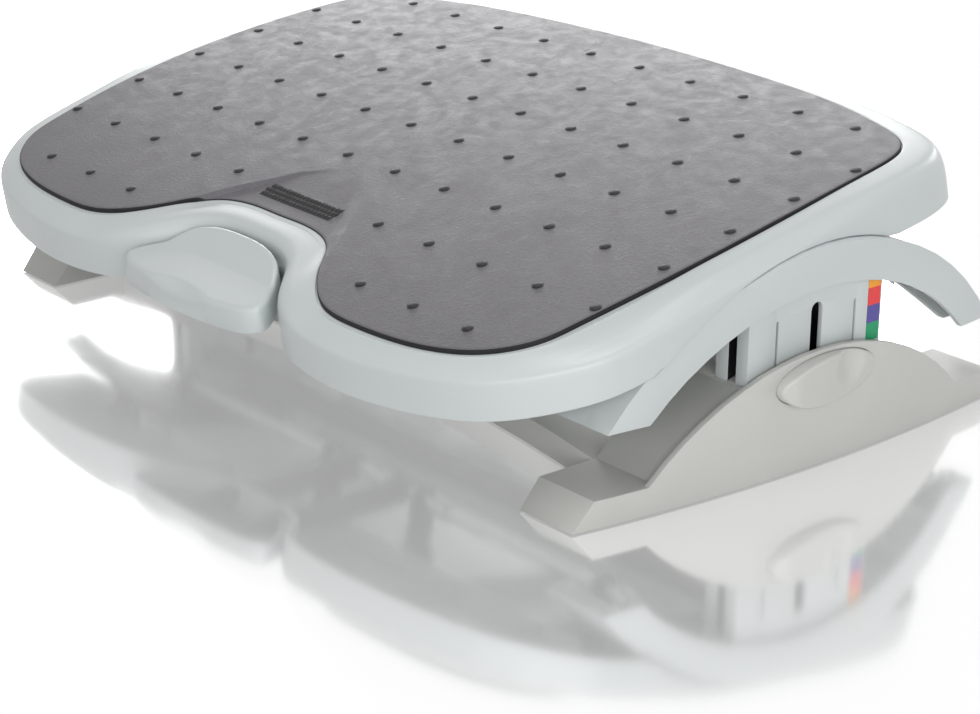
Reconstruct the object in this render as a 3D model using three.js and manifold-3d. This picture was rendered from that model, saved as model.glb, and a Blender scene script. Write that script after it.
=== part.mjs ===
// A tilting under desk footrest: a base of two arched shoes and two beams, a carriage of two arch rails
// that slides up and down in the shoes, and a padded platform that rocks along the rails.
// Lengths are millimetres, angles are degrees, +X is the user's right, +Y is away from the user, +Z is up.
// Every piece is drawn for the right-hand side or the middle, and the left-hand side is its mirror image.
import * as THREE from "three";
import { mergeVertices } from "three/addons/utils/BufferGeometryUtils.js";
import Module from "manifold-3d";

const wasm = await Module();
wasm.setup();

// Driving dimensions of the base
const HALF_WIDTH = 277.5;
const SIDE_BOW_RADIUS = 1040;
const BASE_HALF_LENGTH = 165;
const FOOT_HEIGHT = 16;
const FOOT_BEVEL_RUN = 13;
const PLATE_ARC_RADIUS = 166;
const PLATE_APEX_Z = 66;
const PLATE_WALL = 3.5;
const SHOE_WIDTH = 53;
const SHOE_INNER_X = HALF_WIDTH - SHOE_WIDTH;
const SHOE_WALL = 3;
const DECK_DROP = 4;
const SHOE_CLEAR_OF_FLOOR = 0.8;

// Driving dimensions of the arch rails and their legs
const ARCH_RADIUS = 181;
const ARCH_APEX_Z = 123;
const ARCH_BAND = 22.5;
const ARCH_END_Z = 50;
const ARCH_WALL = 3.5;
const ARCH_WIDTH = 55.5;
const ARCH_INNER_X = HALF_WIDTH - ARCH_WIDTH;
const ARCH_LIP = 15;
const ARCH_TAIL_WIDTH = 17;
const LEG_SET_IN = 7.5;
const LEG_WIDTH = 23;
const LEG_OUTER_X = HALF_WIDTH - LEG_SET_IN;
const LEG_INNER_X = LEG_OUTER_X - LEG_WIDTH;
const LEG_HALF_LENGTH = 50.5;
const LEG_BOTTOM_Z = 34;
const LEG_WALL = 3;
const LIFT_TRAVEL = 30;

// Driving dimensions of the platform
const TILT = 11.25;
const PAD_OVER_RAIL = 10.4;
const PAD_HEIGHT_OVER_PIVOT = ARCH_RADIUS + PAD_OVER_RAIL;
const PAD_CENTRE_FORWARD = 1.8;
const CROWN_RADIUS = 1540;
const PAD_SET_IN = 24;
const PAD_HALF_WIDTH = HALF_WIDTH - PAD_SET_IN;
const PAD_BACK = 182;
const PAD_FRONT = 171;
const PAD_THICKNESS = 2.5;
const RIM_SET_IN = 0.3;
const RIM_HALF_WIDTH = HALF_WIDTH - RIM_SET_IN;
const RIM_BACK = 202;
const RIM_FRONT = 187;
const RIM_DEPTH = 31;
const TRAY_WALL = 3;
const NUB_PITCH_X = 44;
const NUB_PITCH_Y = 47.8;
const NUB_DIAMETER = 7.5;
const NUB_HEIGHT = 1.2;

// Clearances
const SEAT_GAP = 0.3;
const RUNNING_GAP = 0.7;
const OVERRUN = 5;
const WELD_DISTANCE = 0.0001;
const QUARTER_TURN = 90;

const ARCH_CENTRE_Z = ARCH_APEX_Z - ARCH_RADIUS;
const PLATE_CENTRE_Z = PLATE_APEX_Z - PLATE_ARC_RADIUS;

// Materials
const plastic = new THREE.MeshStandardMaterial({ color: 0xc8cfcf, roughness: 0.45, metalness: 0 });
const basePlastic = new THREE.MeshStandardMaterial({ color: 0xc3c3c0, roughness: 0.5, metalness: 0 });
const padRubber = new THREE.MeshStandardMaterial({ color: 0x8d8b90, roughness: 0.85, metalness: 0 });
const darkRubber = new THREE.MeshStandardMaterial({ color: 0x2c2c2e, roughness: 0.9, metalness: 0 });
const innerPlastic = new THREE.MeshStandardMaterial({ color: 0x6c7072, roughness: 0.6, metalness: 0 });
const steel = new THREE.MeshStandardMaterial({ color: 0xb9bcc0, roughness: 0.35, metalness: 1 });
const scalePrint = new THREE.MeshStandardMaterial({ color: 0xe5484a, roughness: 0.5, metalness: 0 });

// Solid helpers

// A closed three.js geometry as a solid, with shared vertices merged and empty triangles left out.
function solid(geometry) {
  const loose = geometry.index ? geometry.toNonIndexed() : geometry.clone();
  loose.deleteAttribute("normal");
  loose.deleteAttribute("uv");
  const merged = mergeVertices(loose, WELD_DISTANCE);
  const index = merged.index.array;
  const kept = [];
  for (let i = 0; i < index.length; i += 3) {
    const [a, b, c] = [index[i], index[i + 1], index[i + 2]];
    if (a !== b && b !== c && c !== a) kept.push(a, b, c);
  }
  const mesh = new wasm.Mesh({
    numProp: 3,
    vertProperties: merged.attributes.position.array,
    triVerts: new Uint32Array(kept),
  });
  return new wasm.Manifold(mesh);
}

// Joins a list of solids into one.
function join(solids) {
  return solids.reduce((whole, next) => whole.add(next));
}

// A box between two stations along each axis, which may be given in either order.
function box(x0, x1, y0, y1, z0, z1) {
  const geometry = new THREE.BoxGeometry(Math.abs(x1 - x0), Math.abs(y1 - y0), Math.abs(z1 - z0));
  geometry.translate((x0 + x1) / 2, (y0 + y1) / 2, (z0 + z1) / 2);
  return solid(geometry);
}

// A round bar along X, Y or Z between two stations, with the other two coordinates of its axis.
function bar(axis, radius, from, to, u, v, sides = 20) {
  const geometry = new THREE.CylinderGeometry(radius, radius, Math.abs(to - from), sides);
  const middle = (from + to) / 2;
  if (axis === "x") {
    geometry.rotateZ(Math.PI / 2);
    geometry.translate(middle, u, v);
  } else if (axis === "y") {
    geometry.translate(u, middle, v);
  } else {
    geometry.rotateX(Math.PI / 2);
    geometry.translate(u, v, middle);
  }
  return solid(geometry);
}

function extruded(points, depth) {
  return new THREE.ExtrudeGeometry(new THREE.Shape(points), { depth, bevelEnabled: false });
}

// A prism along X, with its outline drawn in (y, z).
function prismX(points, x0, x1) {
  const geometry = extruded(points, x1 - x0);
  const turn = new THREE.Matrix4().set(0, 0, 1, x0, 1, 0, 0, 0, 0, 1, 0, 0, 0, 0, 0, 1);
  geometry.applyMatrix4(turn);
  return solid(geometry);
}

// A prism along Z, with its outline drawn in (x, y).
function prismZ(points, z0, z1) {
  const geometry = extruded(points, z1 - z0);
  geometry.translate(0, 0, z0);
  return solid(geometry);
}

function point(u, v) {
  return new THREE.Vector2(u, v);
}

// Points on an arc about (u, v), with angles in degrees measured from +v towards +u.
function arc(u, v, radius, from, to, steps) {
  const points = [];
  for (let i = 0; i <= steps; i++) {
    const a = THREE.MathUtils.degToRad(from + ((to - from) * i) / steps);
    points.push(point(u + radius * Math.sin(a), v + radius * Math.cos(a)));
  }
  return points;
}

// The angle from straight up at which a circle of this radius is at this height over its centre.
function angleAtHeight(radius, height) {
  return THREE.MathUtils.radToDeg(Math.acos(height / radius));
}

// The angle from straight up at which a circle of this radius is this far to the side of its centre.
function angleAtReach(radius, reach) {
  return THREE.MathUtils.radToDeg(Math.asin(reach / radius));
}

function mesh(name, shape, material) {
  const data = shape.getMesh();
  const geometry = new THREE.BufferGeometry();
  geometry.setAttribute("position", new THREE.BufferAttribute(data.vertProperties, 3));
  geometry.setIndex(new THREE.BufferAttribute(data.triVerts, 1));
  const made = new THREE.Mesh(geometry, material.clone());
  made.name = name;
  return made;
}

// A helical spring along X about (y, z): one unbroken wire with its ends cut square.
class Helix extends THREE.Curve {
  constructor(radius, from, to, turns, y, z) {
    super();
    Object.assign(this, { radius, from, to, turns, y, z });
  }

  getPoint(t, target = new THREE.Vector3()) {
    const a = 2 * Math.PI * this.turns * t;
    const x = this.from + (this.to - this.from) * t;
    return target.set(x, this.y + this.radius * Math.sin(a), this.z + this.radius * Math.cos(a));
  }
}

const SPRING_STEPS_PER_TURN = 8;
const SPRING_WIRE_SIDES = 5;

function spring(radius, wire, from, to, turns, y, z) {
  const path = new Helix(radius, from + wire / 2, to - wire / 2, turns, y, z);
  const section = arc(0, 0, wire / 2, 0, -360, SPRING_WIRE_SIDES).slice(0, SPRING_WIRE_SIDES);
  const geometry = new THREE.ExtrudeGeometry(new THREE.Shape(section), {
    extrudePath: path,
    steps: SPRING_STEPS_PER_TURN * turns,
  });
  return solid(geometry);
}

// A pan head screw along X: the head lies on the side of the first station.
const SCREW_HEAD_RADIUS = 4;
const SCREW_HEAD_HEIGHT = 2.6;
const SCREW_SHANK_RADIUS = 2;
const SCREW_HOLE_RADIUS = SCREW_SHANK_RADIUS + SEAT_GAP;
const SCREW_SIDES = 12;

function screwX(seat, direction, length, y, z) {
  const headEnd = seat - direction * SCREW_HEAD_HEIGHT;
  const tip = seat + direction * length;
  const head = bar("x", SCREW_HEAD_RADIUS, seat, headEnd, y, z, SCREW_SIDES);
  const shank = bar("x", SCREW_SHANK_RADIUS, headEnd, tip, y, z, SCREW_SIDES);
  return head.add(shank);
}

function screwZ(seat, length, x, y) {
  const head = bar("z", SCREW_HEAD_RADIUS, seat - SCREW_HEAD_HEIGHT, seat, x, y, SCREW_SIDES);
  const shank = bar("z", SCREW_SHANK_RADIUS, seat - SCREW_HEAD_HEIGHT, seat + length, x, y, SCREW_SIDES);
  return head.add(shank);
}

// A block from a straight inner side to the bowed outer side of the footrest, drawn in from it by an inset.
const BOW_STEPS = 12;

function bowedSlab(innerX, inset, z0, z1) {
  const radius = SIDE_BOW_RADIUS - inset;
  const reach = BASE_HALF_LENGTH + OVERRUN;
  const half = angleAtReach(radius, reach);
  const centreX = HALF_WIDTH - SIDE_BOW_RADIUS;
  const outer = arc(centreX, 0, radius, QUARTER_TURN + half, QUARTER_TURN - half, BOW_STEPS);
  return prismZ([point(innerX, reach), point(innerX, -reach), ...outer], z0, z1);
}

// Base

const ARC_STEPS = 18;

// The side view of a shoe: two bevelled feet with an arch between them, drawn in by an inset.
function shoeProfile(radius, inset, bottomZ) {
  const top = FOOT_HEIGHT - inset;
  const angle = angleAtHeight(radius, top - PLATE_CENTRE_Z);
  const length = BASE_HALF_LENGTH - inset;
  const shoulder = length - FOOT_BEVEL_RUN;
  const arch = arc(0, PLATE_CENTRE_Z, radius, -angle, angle, ARC_STEPS);
  const front = [point(-length, bottomZ), point(-shoulder, top)];
  const back = [point(shoulder, top), point(length, bottomZ)];
  return [...front, ...arch, ...back].reverse();
}

// Well: the pocket in each shoe that its leg slides in
const LEG_CLEARANCE = 0.8;
const WELL_HALF_LENGTH = LEG_HALF_LENGTH + LEG_CLEARANCE;
const WELL_INNER_X = LEG_INNER_X - LEG_CLEARANCE;
const GROOVE_SET_IN = 11.2;
const GROOVE_X = LEG_OUTER_X - GROOVE_SET_IN;
const GROOVE_WIDTH = 6;
const GROOVE_DEPTH = 7;
const GUIDE_CLEARANCE = 0.35;
const SHOE_RIB_WALL = 2.5;
const SHOE_RIB_Y_SHARES = [0.42, 0.66];

// Cross ties of the carriage, which dip into slots in the shoes
const TIE_Y = 34;
const TIE_WIDTH = 12;
const TIE_HEIGHT = 12;
const TIE_BOTTOM_Z = 74;
const TIE_WALL = 2;
const TIE_SOLID_END = 18;
const TIE_SLOT_CLEARANCE = 1.2;

// Side button and its clamp
const BUTTON_Y = 2;
const BUTTON_Z = 50;
const BUTTON_HALF_LENGTH = 37;
const BUTTON_HALF_HEIGHT = 13.5;
const BUTTON_CLEARANCE = 0.5;
const BUTTON_SIDES = 36;
const STEM_Y = -0.5;
const STEM_RADIUS = 3.5;
const CLAMP_WALL = 6;
const CLAMP_HALF_LENGTH = 16;
const CLAMP_HALF_HEIGHT = 8;
const CLAMP_OUTER_X = LEG_INNER_X - SEAT_GAP;
const CLAMP_INNER_X = CLAMP_OUTER_X - CLAMP_WALL;
const BUTTON_SPRING_RADIUS = 6;
const BUTTON_SPRING_WIRE = 1.2;
const BUTTON_SPRING_TURNS = 5;
const SPRING_POST_LENGTH = 5;
const SPRING_POST_CLEARANCE = 0.9;

// Front and rear beams
const BEAM_SET_BACK = 74;
const BEAM_WIDTH = 31;
const BEAM_FRONT_Y = BASE_HALF_LENGTH - BEAM_SET_BACK;
const BEAM_BACK_Y = BEAM_FRONT_Y - BEAM_WIDTH;
const BEAM_BOW_RADIUS = 1060;
const BEAM_WALL = 3;
const BEAM_SOLID_END = 20;
const BEAM_END_X = SHOE_INNER_X - SEAT_GAP;
const BEAM_RIB_X_SHARES = [-0.7, -0.5, -0.3, -0.1, 0.1, 0.3, 0.5, 0.7];
const BEAM_SCREW_INSET = 7;
const BEAM_SCREW_Y = BEAM_FRONT_Y - BEAM_SCREW_INSET;
const BEAM_SCREW_Z = 8.5;
const BEAM_SCREW_LENGTH = 15;

// Rubber feet
const PAD_FOOT_LENGTH = 24;
const PAD_FOOT_WIDTH = 26;
const PAD_FOOT_THICKNESS = 3;
const PAD_FOOT_SET_BACK = 27;
const PAD_FOOT_SET_OUT = 20.5;
const PAD_FOOT_Y = BASE_HALF_LENGTH - PAD_FOOT_SET_BACK;
const PAD_FOOT_X = SHOE_INNER_X + PAD_FOOT_SET_OUT;
const PAD_FOOT_SEAT = 3;

function ellipse(y, z, halfLength, halfHeight, sides) {
  const points = [];
  for (let i = 0; i < sides; i++) {
    const a = (2 * Math.PI * i) / sides;
    points.push(point(y + halfLength * Math.cos(a), z + halfHeight * Math.sin(a)));
  }
  return points;
}

function shoe() {
  const top = PLATE_APEX_Z + OVERRUN;
  const whole = bowedSlab(SHOE_INNER_X, 0, -OVERRUN, top);
  const inside = bowedSlab(SHOE_INNER_X, PLATE_WALL, -OVERRUN, top);
  const plateProfile = shoeProfile(PLATE_ARC_RADIUS, 0, SHOE_CLEAR_OF_FLOOR);
  const plate = prismX(plateProfile, SHOE_INNER_X, HALF_WIDTH).intersect(whole).subtract(inside);
  const deckRadius = PLATE_ARC_RADIUS - DECK_DROP;
  const block = prismX(shoeProfile(deckRadius, 0, SHOE_CLEAR_OF_FLOOR), SHOE_INNER_X, HALF_WIDTH)
    .intersect(whole);
  const hollowProfile = shoeProfile(deckRadius - SHOE_WALL, SHOE_WALL, -OVERRUN);
  const hollow = prismX(hollowProfile, SHOE_INNER_X + SHOE_WALL, HALF_WIDTH).intersect(inside);
  const well = box(WELL_INNER_X, HALF_WIDTH, -WELL_HALF_LENGTH, WELL_HALF_LENGTH, -OVERRUN, top)
    .intersect(inside);
  const fillings = [];
  for (const end of [-1, 1]) {
    for (const share of SHOE_RIB_Y_SHARES) {
      const y = end * share * BASE_HALF_LENGTH;
      const half = SHOE_RIB_WALL / 2;
      fillings.push(box(SHOE_INNER_X, HALF_WIDTH, y - half, y + half, SHOE_CLEAR_OF_FLOOR, top));
    }
    const near = end * WELL_HALF_LENGTH;
    const far = end * (WELL_HALF_LENGTH + SHOE_WALL);
    fillings.push(box(SHOE_INNER_X, HALF_WIDTH, near, far, SHOE_CLEAR_OF_FLOOR, top));
    const seatNear = end * (PAD_FOOT_Y - PAD_FOOT_LENGTH / 2 - SHOE_WALL);
    const seatFar = end * BASE_HALF_LENGTH;
    const seatTop = PAD_FOOT_THICKNESS + SEAT_GAP + PAD_FOOT_SEAT;
    const seat = box(
      SHOE_INNER_X,
      HALF_WIDTH,
      seatNear,
      seatFar,
      SHOE_CLEAR_OF_FLOOR,
      seatTop,
    );
    fillings.push(seat);
  }
  let made = join([plate, block.subtract(hollow), ...fillings.map((f) => f.intersect(block))]);
  made = made.subtract(well);
  for (const end of [-1, 1]) {
    const tip = end * (LEG_HALF_LENGTH - GROOVE_DEPTH + LEG_CLEARANCE);
    const root = end * (WELL_HALF_LENGTH + SHOE_WALL / 2);
    const halfWidth = GROOVE_WIDTH / 2 - GUIDE_CLEARANCE;
    const guide = box(
      GROOVE_X - halfWidth,
      GROOVE_X + halfWidth,
      tip,
      root,
      SHOE_CLEAR_OF_FLOOR,
      top,
    );
    made = made.add(guide.intersect(block));
    const slotHalf = TIE_WIDTH / 2 + TIE_SLOT_CLEARANCE;
    const slotBottom = TIE_BOTTOM_Z - LIFT_TRAVEL - TIE_SLOT_CLEARANCE;
    const slotY = end * TIE_Y;
    const slotOuter = WELL_INNER_X + OVERRUN;
    made = made.subtract(
      box(SHOE_INNER_X - OVERRUN, slotOuter, slotY - slotHalf, slotY + slotHalf, slotBottom, top),
    );
    const footY = end * PAD_FOOT_Y;
    const halfLength = PAD_FOOT_LENGTH / 2 + SEAT_GAP;
    const footHalf = PAD_FOOT_WIDTH / 2 + SEAT_GAP;
    const pocketTop = PAD_FOOT_THICKNESS + SEAT_GAP;
    made = made.subtract(
      box(
        PAD_FOOT_X - footHalf,
        PAD_FOOT_X + footHalf,
        footY - halfLength,
        footY + halfLength,
        -OVERRUN,
        pocketTop,
      ),
    );
    const holeStart = SHOE_INNER_X - OVERRUN;
    const holeEnd = SHOE_INNER_X + SHOE_WALL + OVERRUN;
    made = made.subtract(
      bar("x", SCREW_HOLE_RADIUS, holeStart, holeEnd, end * BEAM_SCREW_Y, BEAM_SCREW_Z, SCREW_SIDES),
    );
  }
  const opening = ellipse(
    BUTTON_Y,
    BUTTON_Z,
    BUTTON_HALF_LENGTH + BUTTON_CLEARANCE,
    BUTTON_HALF_HEIGHT + BUTTON_CLEARANCE,
    BUTTON_SIDES,
  );
  made = made.subtract(prismX(opening, LEG_OUTER_X, HALF_WIDTH + OVERRUN));
  const postStart = SHOE_INNER_X + SHOE_WALL / 2;
  const postEnd = SHOE_INNER_X + SHOE_WALL + SPRING_POST_LENGTH;
  const postRadius = BUTTON_SPRING_RADIUS - BUTTON_SPRING_WIRE / 2 - SPRING_POST_CLEARANCE;
  return made.add(bar("x", postRadius, postStart, postEnd, STEM_Y, BUTTON_Z));
}

// A beam between the shoes: its outer face bows in towards the middle, and it is hollow from below.
function beamOutline(inset, endX) {
  const centre = -BEAM_FRONT_Y + inset - BEAM_BOW_RADIUS;
  const angle = angleAtReach(BEAM_BOW_RADIUS, endX);
  const outer = arc(0, centre, BEAM_BOW_RADIUS, -angle, angle, BOW_STEPS);
  return [...outer, point(endX, -BEAM_BACK_Y - inset), point(-endX, -BEAM_BACK_Y - inset)];
}

function frontBeam() {
  const outside = prismZ(beamOutline(0, BEAM_END_X), SHOE_CLEAR_OF_FLOOR, FOOT_HEIGHT);
  const hollowOutline = beamOutline(BEAM_WALL, BEAM_END_X - BEAM_SOLID_END);
  const hollow = prismZ(hollowOutline, -OVERRUN, FOOT_HEIGHT - BEAM_WALL);
  let made = outside.subtract(hollow);
  for (const share of BEAM_RIB_X_SHARES) {
    const x = share * BEAM_END_X;
    const rib = box(x, x + SHOE_RIB_WALL, -BASE_HALF_LENGTH, 0, SHOE_CLEAR_OF_FLOOR, FOOT_HEIGHT);
    made = made.add(rib.intersect(outside));
  }
  for (const side of [-1, 1]) {
    const inner = side * (BEAM_END_X - BEAM_SCREW_LENGTH);
    const outer = side * (BEAM_END_X + OVERRUN);
    made = made.subtract(
      bar(
        "x",
        SCREW_HOLE_RADIUS,
        inner,
        outer,
        -BEAM_SCREW_Y,
        BEAM_SCREW_Z,
        SCREW_SIDES,
      ),
    );
  }
  return made;
}

function rubberFoot(end) {
  const y = end * PAD_FOOT_Y;
  const halfLength = PAD_FOOT_LENGTH / 2;
  const halfWidth = PAD_FOOT_WIDTH / 2;
  return box(
    PAD_FOOT_X - halfWidth,
    PAD_FOOT_X + halfWidth,
    y - halfLength,
    y + halfLength,
    0,
    PAD_FOOT_THICKNESS,
  );
}

// Carriage

const ARCH_RIB_WALL = 2;
const ARCH_RIB_HEIGHT = 10;
const ARCH_RIB_Y_SHARES = [-0.74, -0.62, -0.5, -0.38, 0.38, 0.5, 0.62, 0.74];
const ARCH_TAIL_START_SHARE = 0.6;
const SLOT_STEPS = 8;
const WIDE_SLOT_WIDTH = 8.5;
const WIDE_SLOT_BOTTOM_Z = 43;
const WIDE_SLOT_TOP_Z = 90;
const THIN_SLOT_WIDTH = 1.8;
const THIN_SLOT_Y = 29.5;
const THIN_SLOT_TOP_Z = 85.5;
const SCALE_FRONT_Y = 40;
const SCALE_WIDTH = 9.5;
const SCALE_BAND = 10;
const SCALE_BANDS = 4;
const SCALE_TOP_Z = 99;
const SCALE_THICKNESS = 0.6;

// The ring between two circles about the rocking axis, cut off level at the rail's ends.
function ringProfile(outerRadius, innerRadius, endZ) {
  const height = endZ - ARCH_CENTRE_Z;
  const outer = angleAtHeight(outerRadius, height);
  const inner = angleAtHeight(innerRadius, height);
  return [
    ...arc(0, ARCH_CENTRE_Z, outerRadius, outer, -outer, ARC_STEPS),
    ...arc(0, ARCH_CENTRE_Z, innerRadius, -inner, inner, ARC_STEPS),
  ];
}

// The rail's outer face: its lower edge has the plate's own radius, so the two nest when it is lowered.
function archFaceProfile() {
  const outer = angleAtHeight(ARCH_RADIUS, ARCH_END_Z - ARCH_CENTRE_Z);
  const lowerCentreZ = ARCH_APEX_Z - ARCH_BAND - PLATE_ARC_RADIUS;
  const inner = angleAtHeight(PLATE_ARC_RADIUS, ARCH_END_Z - lowerCentreZ);
  return [
    ...arc(0, ARCH_CENTRE_Z, ARCH_RADIUS, outer, -outer, ARC_STEPS),
    ...arc(0, lowerCentreZ, PLATE_ARC_RADIUS, -inner, inner, ARC_STEPS),
  ];
}

function roundTopSlot(y, width, bottomZ, topZ, x0, x1) {
  const radius = width / 2;
  const top = arc(y, topZ - radius, radius, QUARTER_TURN, -QUARTER_TURN, SLOT_STEPS);
  return prismX([point(y - radius, bottomZ), point(y + radius, bottomZ), ...top], x0, x1);
}

function legBlock() {
  const roof = ARCH_RADIUS - ARCH_WALL / 2;
  const half = angleAtReach(roof, LEG_HALF_LENGTH);
  const top = arc(0, ARCH_CENTRE_Z, roof, half, -half, SLOT_STEPS);
  const outline = [point(-LEG_HALF_LENGTH, LEG_BOTTOM_Z), point(LEG_HALF_LENGTH, LEG_BOTTOM_Z), ...top];
  return prismX(outline, LEG_INNER_X, LEG_OUTER_X);
}

// The rail in plan: its flange and ribs narrow from the inner side towards both tails.
function flangePlan(z0, z1) {
  const start = ARCH_TAIL_START_SHARE * ARCH_RADIUS;
  const end = ARCH_RADIUS * Math.sin(THREE.MathUtils.degToRad(archEndAngle()));
  const bow = SIDE_BOW_RADIUS - Math.sqrt(SIDE_BOW_RADIUS * SIDE_BOW_RADIUS - end * end);
  const tailX = HALF_WIDTH - bow - ARCH_TAIL_WIDTH;
  const right = [point(HALF_WIDTH, -end), point(HALF_WIDTH, end)];
  const inner = [point(tailX, end), point(ARCH_INNER_X, start), point(ARCH_INNER_X, -start), point(tailX, -end)];
  return prismZ([...right, ...inner], z0, z1);
}

function archEndAngle() {
  return angleAtHeight(ARCH_RADIUS, ARCH_END_Z - ARCH_CENTRE_Z);
}

function arch() {
  const low = ARCH_END_Z - OVERRUN;
  const high = ARCH_APEX_Z + OVERRUN;
  const plan = flangePlan(low, high);
  const whole = bowedSlab(ARCH_INNER_X, 0, low, high);
  const inside = bowedSlab(ARCH_INNER_X, ARCH_WALL, low, high);
  const face = prismX(archFaceProfile(), LEG_INNER_X, HALF_WIDTH).intersect(whole).subtract(inside);
  const flangeProfile = ringProfile(ARCH_RADIUS, ARCH_RADIUS - ARCH_WALL, ARCH_END_Z);
  const flange = prismX(flangeProfile, ARCH_INNER_X, HALF_WIDTH).intersect(whole).intersect(plan);
  const lipProfile = ringProfile(ARCH_RADIUS, ARCH_RADIUS - ARCH_LIP, ARCH_END_Z);
  const lip = prismX(lipProfile, ARCH_INNER_X, ARCH_INNER_X + ARCH_WALL).intersect(plan);
  const ribDepth = ARCH_WALL + ARCH_RIB_HEIGHT;
  const ribProfile = ringProfile(ARCH_RADIUS, ARCH_RADIUS - ribDepth, ARCH_END_Z);
  const ribRing = prismX(ribProfile, ARCH_INNER_X, HALF_WIDTH).intersect(whole).intersect(plan);
  const pieces = [face, flange, lip, legBlock()];
  for (const share of ARCH_RIB_Y_SHARES) {
    const y = share * ARCH_RADIUS;
    pieces.push(box(ARCH_INNER_X, HALF_WIDTH, y, y + ARCH_RIB_WALL, low, high).intersect(ribRing));
  }
  let made = join(pieces);
  const coreHalf = LEG_HALF_LENGTH - GROOVE_DEPTH - LEG_WALL;
  const coreTop = ARCH_APEX_Z - ARCH_BAND + SCREW_HEAD_HEIGHT;
  made = made.subtract(
    box(LEG_INNER_X + LEG_WALL, LEG_OUTER_X - LEG_WALL, -coreHalf, coreHalf, LEG_BOTTOM_Z - OVERRUN, coreTop),
  );
  for (const end of [-1, 1]) {
    const bottom = end * (coreHalf - SEAT_GAP);
    const mouth = end * (LEG_HALF_LENGTH + OVERRUN);
    const grooveTop = PLATE_APEX_Z + LIFT_TRAVEL - LEG_WALL;
    made = made.subtract(
      box(
        GROOVE_X - GROOVE_WIDTH / 2,
        GROOVE_X + GROOVE_WIDTH / 2,
        bottom,
        mouth,
        LEG_BOTTOM_Z - OVERRUN,
        grooveTop,
      ),
    );
    const thinStart = LEG_OUTER_X - LEG_WALL - OVERRUN;
    const thinY = end * THIN_SLOT_Y;
    made = made.subtract(
      roundTopSlot(
        thinY,
        THIN_SLOT_WIDTH,
        LEG_BOTTOM_Z - OVERRUN,
        THIN_SLOT_TOP_Z,
        thinStart,
        LEG_OUTER_X + SEAT_GAP,
      ),
    );
    const holeZ = TIE_BOTTOM_Z + TIE_HEIGHT / 2;
    const holeEnd = LEG_INNER_X + LEG_WALL + OVERRUN;
    made = made.subtract(
      bar("x", SCREW_HOLE_RADIUS, LEG_INNER_X - OVERRUN, holeEnd, end * TIE_Y, holeZ, SCREW_SIDES),
    );
  }
  made = made.subtract(
    roundTopSlot(
      0,
      WIDE_SLOT_WIDTH,
      WIDE_SLOT_BOTTOM_Z,
      WIDE_SLOT_TOP_Z,
      ARCH_INNER_X,
      LEG_OUTER_X + SEAT_GAP,
    ),
  );
  const pocketFront = SCALE_FRONT_Y - SEAT_GAP;
  const pocketBack = SCALE_FRONT_Y + SCALE_WIDTH + SEAT_GAP;
  const pocketBottom = SCALE_TOP_Z - SCALE_BAND * SCALE_BANDS - SEAT_GAP;
  const pocketDepth = SCALE_THICKNESS + SEAT_GAP;
  const pocketTop = SCALE_TOP_Z + SEAT_GAP;
  return made.subtract(
    box(LEG_OUTER_X - pocketDepth, LEG_OUTER_X + SEAT_GAP, pocketFront, pocketBack, pocketBottom, pocketTop),
  );
}

function heightScale() {
  const bottom = SCALE_TOP_Z - SCALE_BAND * SCALE_BANDS;
  const back = SCALE_FRONT_Y + SCALE_WIDTH;
  return box(LEG_OUTER_X - SCALE_THICKNESS, LEG_OUTER_X, SCALE_FRONT_Y, back, bottom, SCALE_TOP_Z);
}

// A cross tie between the two legs: a channel open below, with solid ends for its screws.
function tie(end) {
  const halfX = LEG_INNER_X - SEAT_GAP;
  const y = end * TIE_Y;
  const half = TIE_WIDTH / 2;
  const top = TIE_BOTTOM_Z + TIE_HEIGHT;
  let made = box(-halfX, halfX, y - half, y + half, TIE_BOTTOM_Z, top);
  const channelX = halfX - TIE_SOLID_END;
  const channelHalf = half - TIE_WALL;
  made = made.subtract(
    box(-channelX, channelX, y - channelHalf, y + channelHalf, TIE_BOTTOM_Z - OVERRUN, top - TIE_WALL),
  );
  const holeZ = TIE_BOTTOM_Z + TIE_HEIGHT / 2;
  for (const side of [-1, 1]) {
    const inner = side * (halfX - TIE_SCREW_LENGTH);
    const outer = side * (halfX + OVERRUN);
    made = made.subtract(
      bar("x", SCREW_HOLE_RADIUS, inner, outer, y, holeZ, SCREW_SIDES),
    );
  }
  return made;
}

const TIE_SCREW_LENGTH = 15;

function tieScrew(end) {
  const seat = LEG_INNER_X + LEG_WALL + SEAT_GAP;
  const length = LEG_WALL + SEAT_GAP + TIE_SCREW_LENGTH - SEAT_GAP;
  return screwX(seat, -1, length, end * TIE_Y, TIE_BOTTOM_Z + TIE_HEIGHT / 2);
}

function beamScrew(end) {
  const seat = SHOE_INNER_X + SHOE_WALL + SEAT_GAP;
  const length = SHOE_WALL + SEAT_GAP + BEAM_SCREW_LENGTH - SEAT_GAP;
  return screwX(seat, -1, length, end * BEAM_SCREW_Y, BEAM_SCREW_Z);
}

// Side button: an oval cap that stands proud at its front end, on a stem through the leg's wide slot
const BUTTON_SET_IN = 2.5;
const BUTTON_INNER_X = HALF_WIDTH - BUTTON_SET_IN;
const BUTTON_FRONT_PROUD = 8;
const BUTTON_REAR_PROUD = 1.2;
const DISH_RADIUS = 46;
const DISH_DEPTH = 2.2;
const DISH_Y = 14;
const DISH_Z = 53;
const CLAMP_SCREW_LENGTH = 14;
const CLAMP_SCREW_RADIUS = 1.5;

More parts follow.
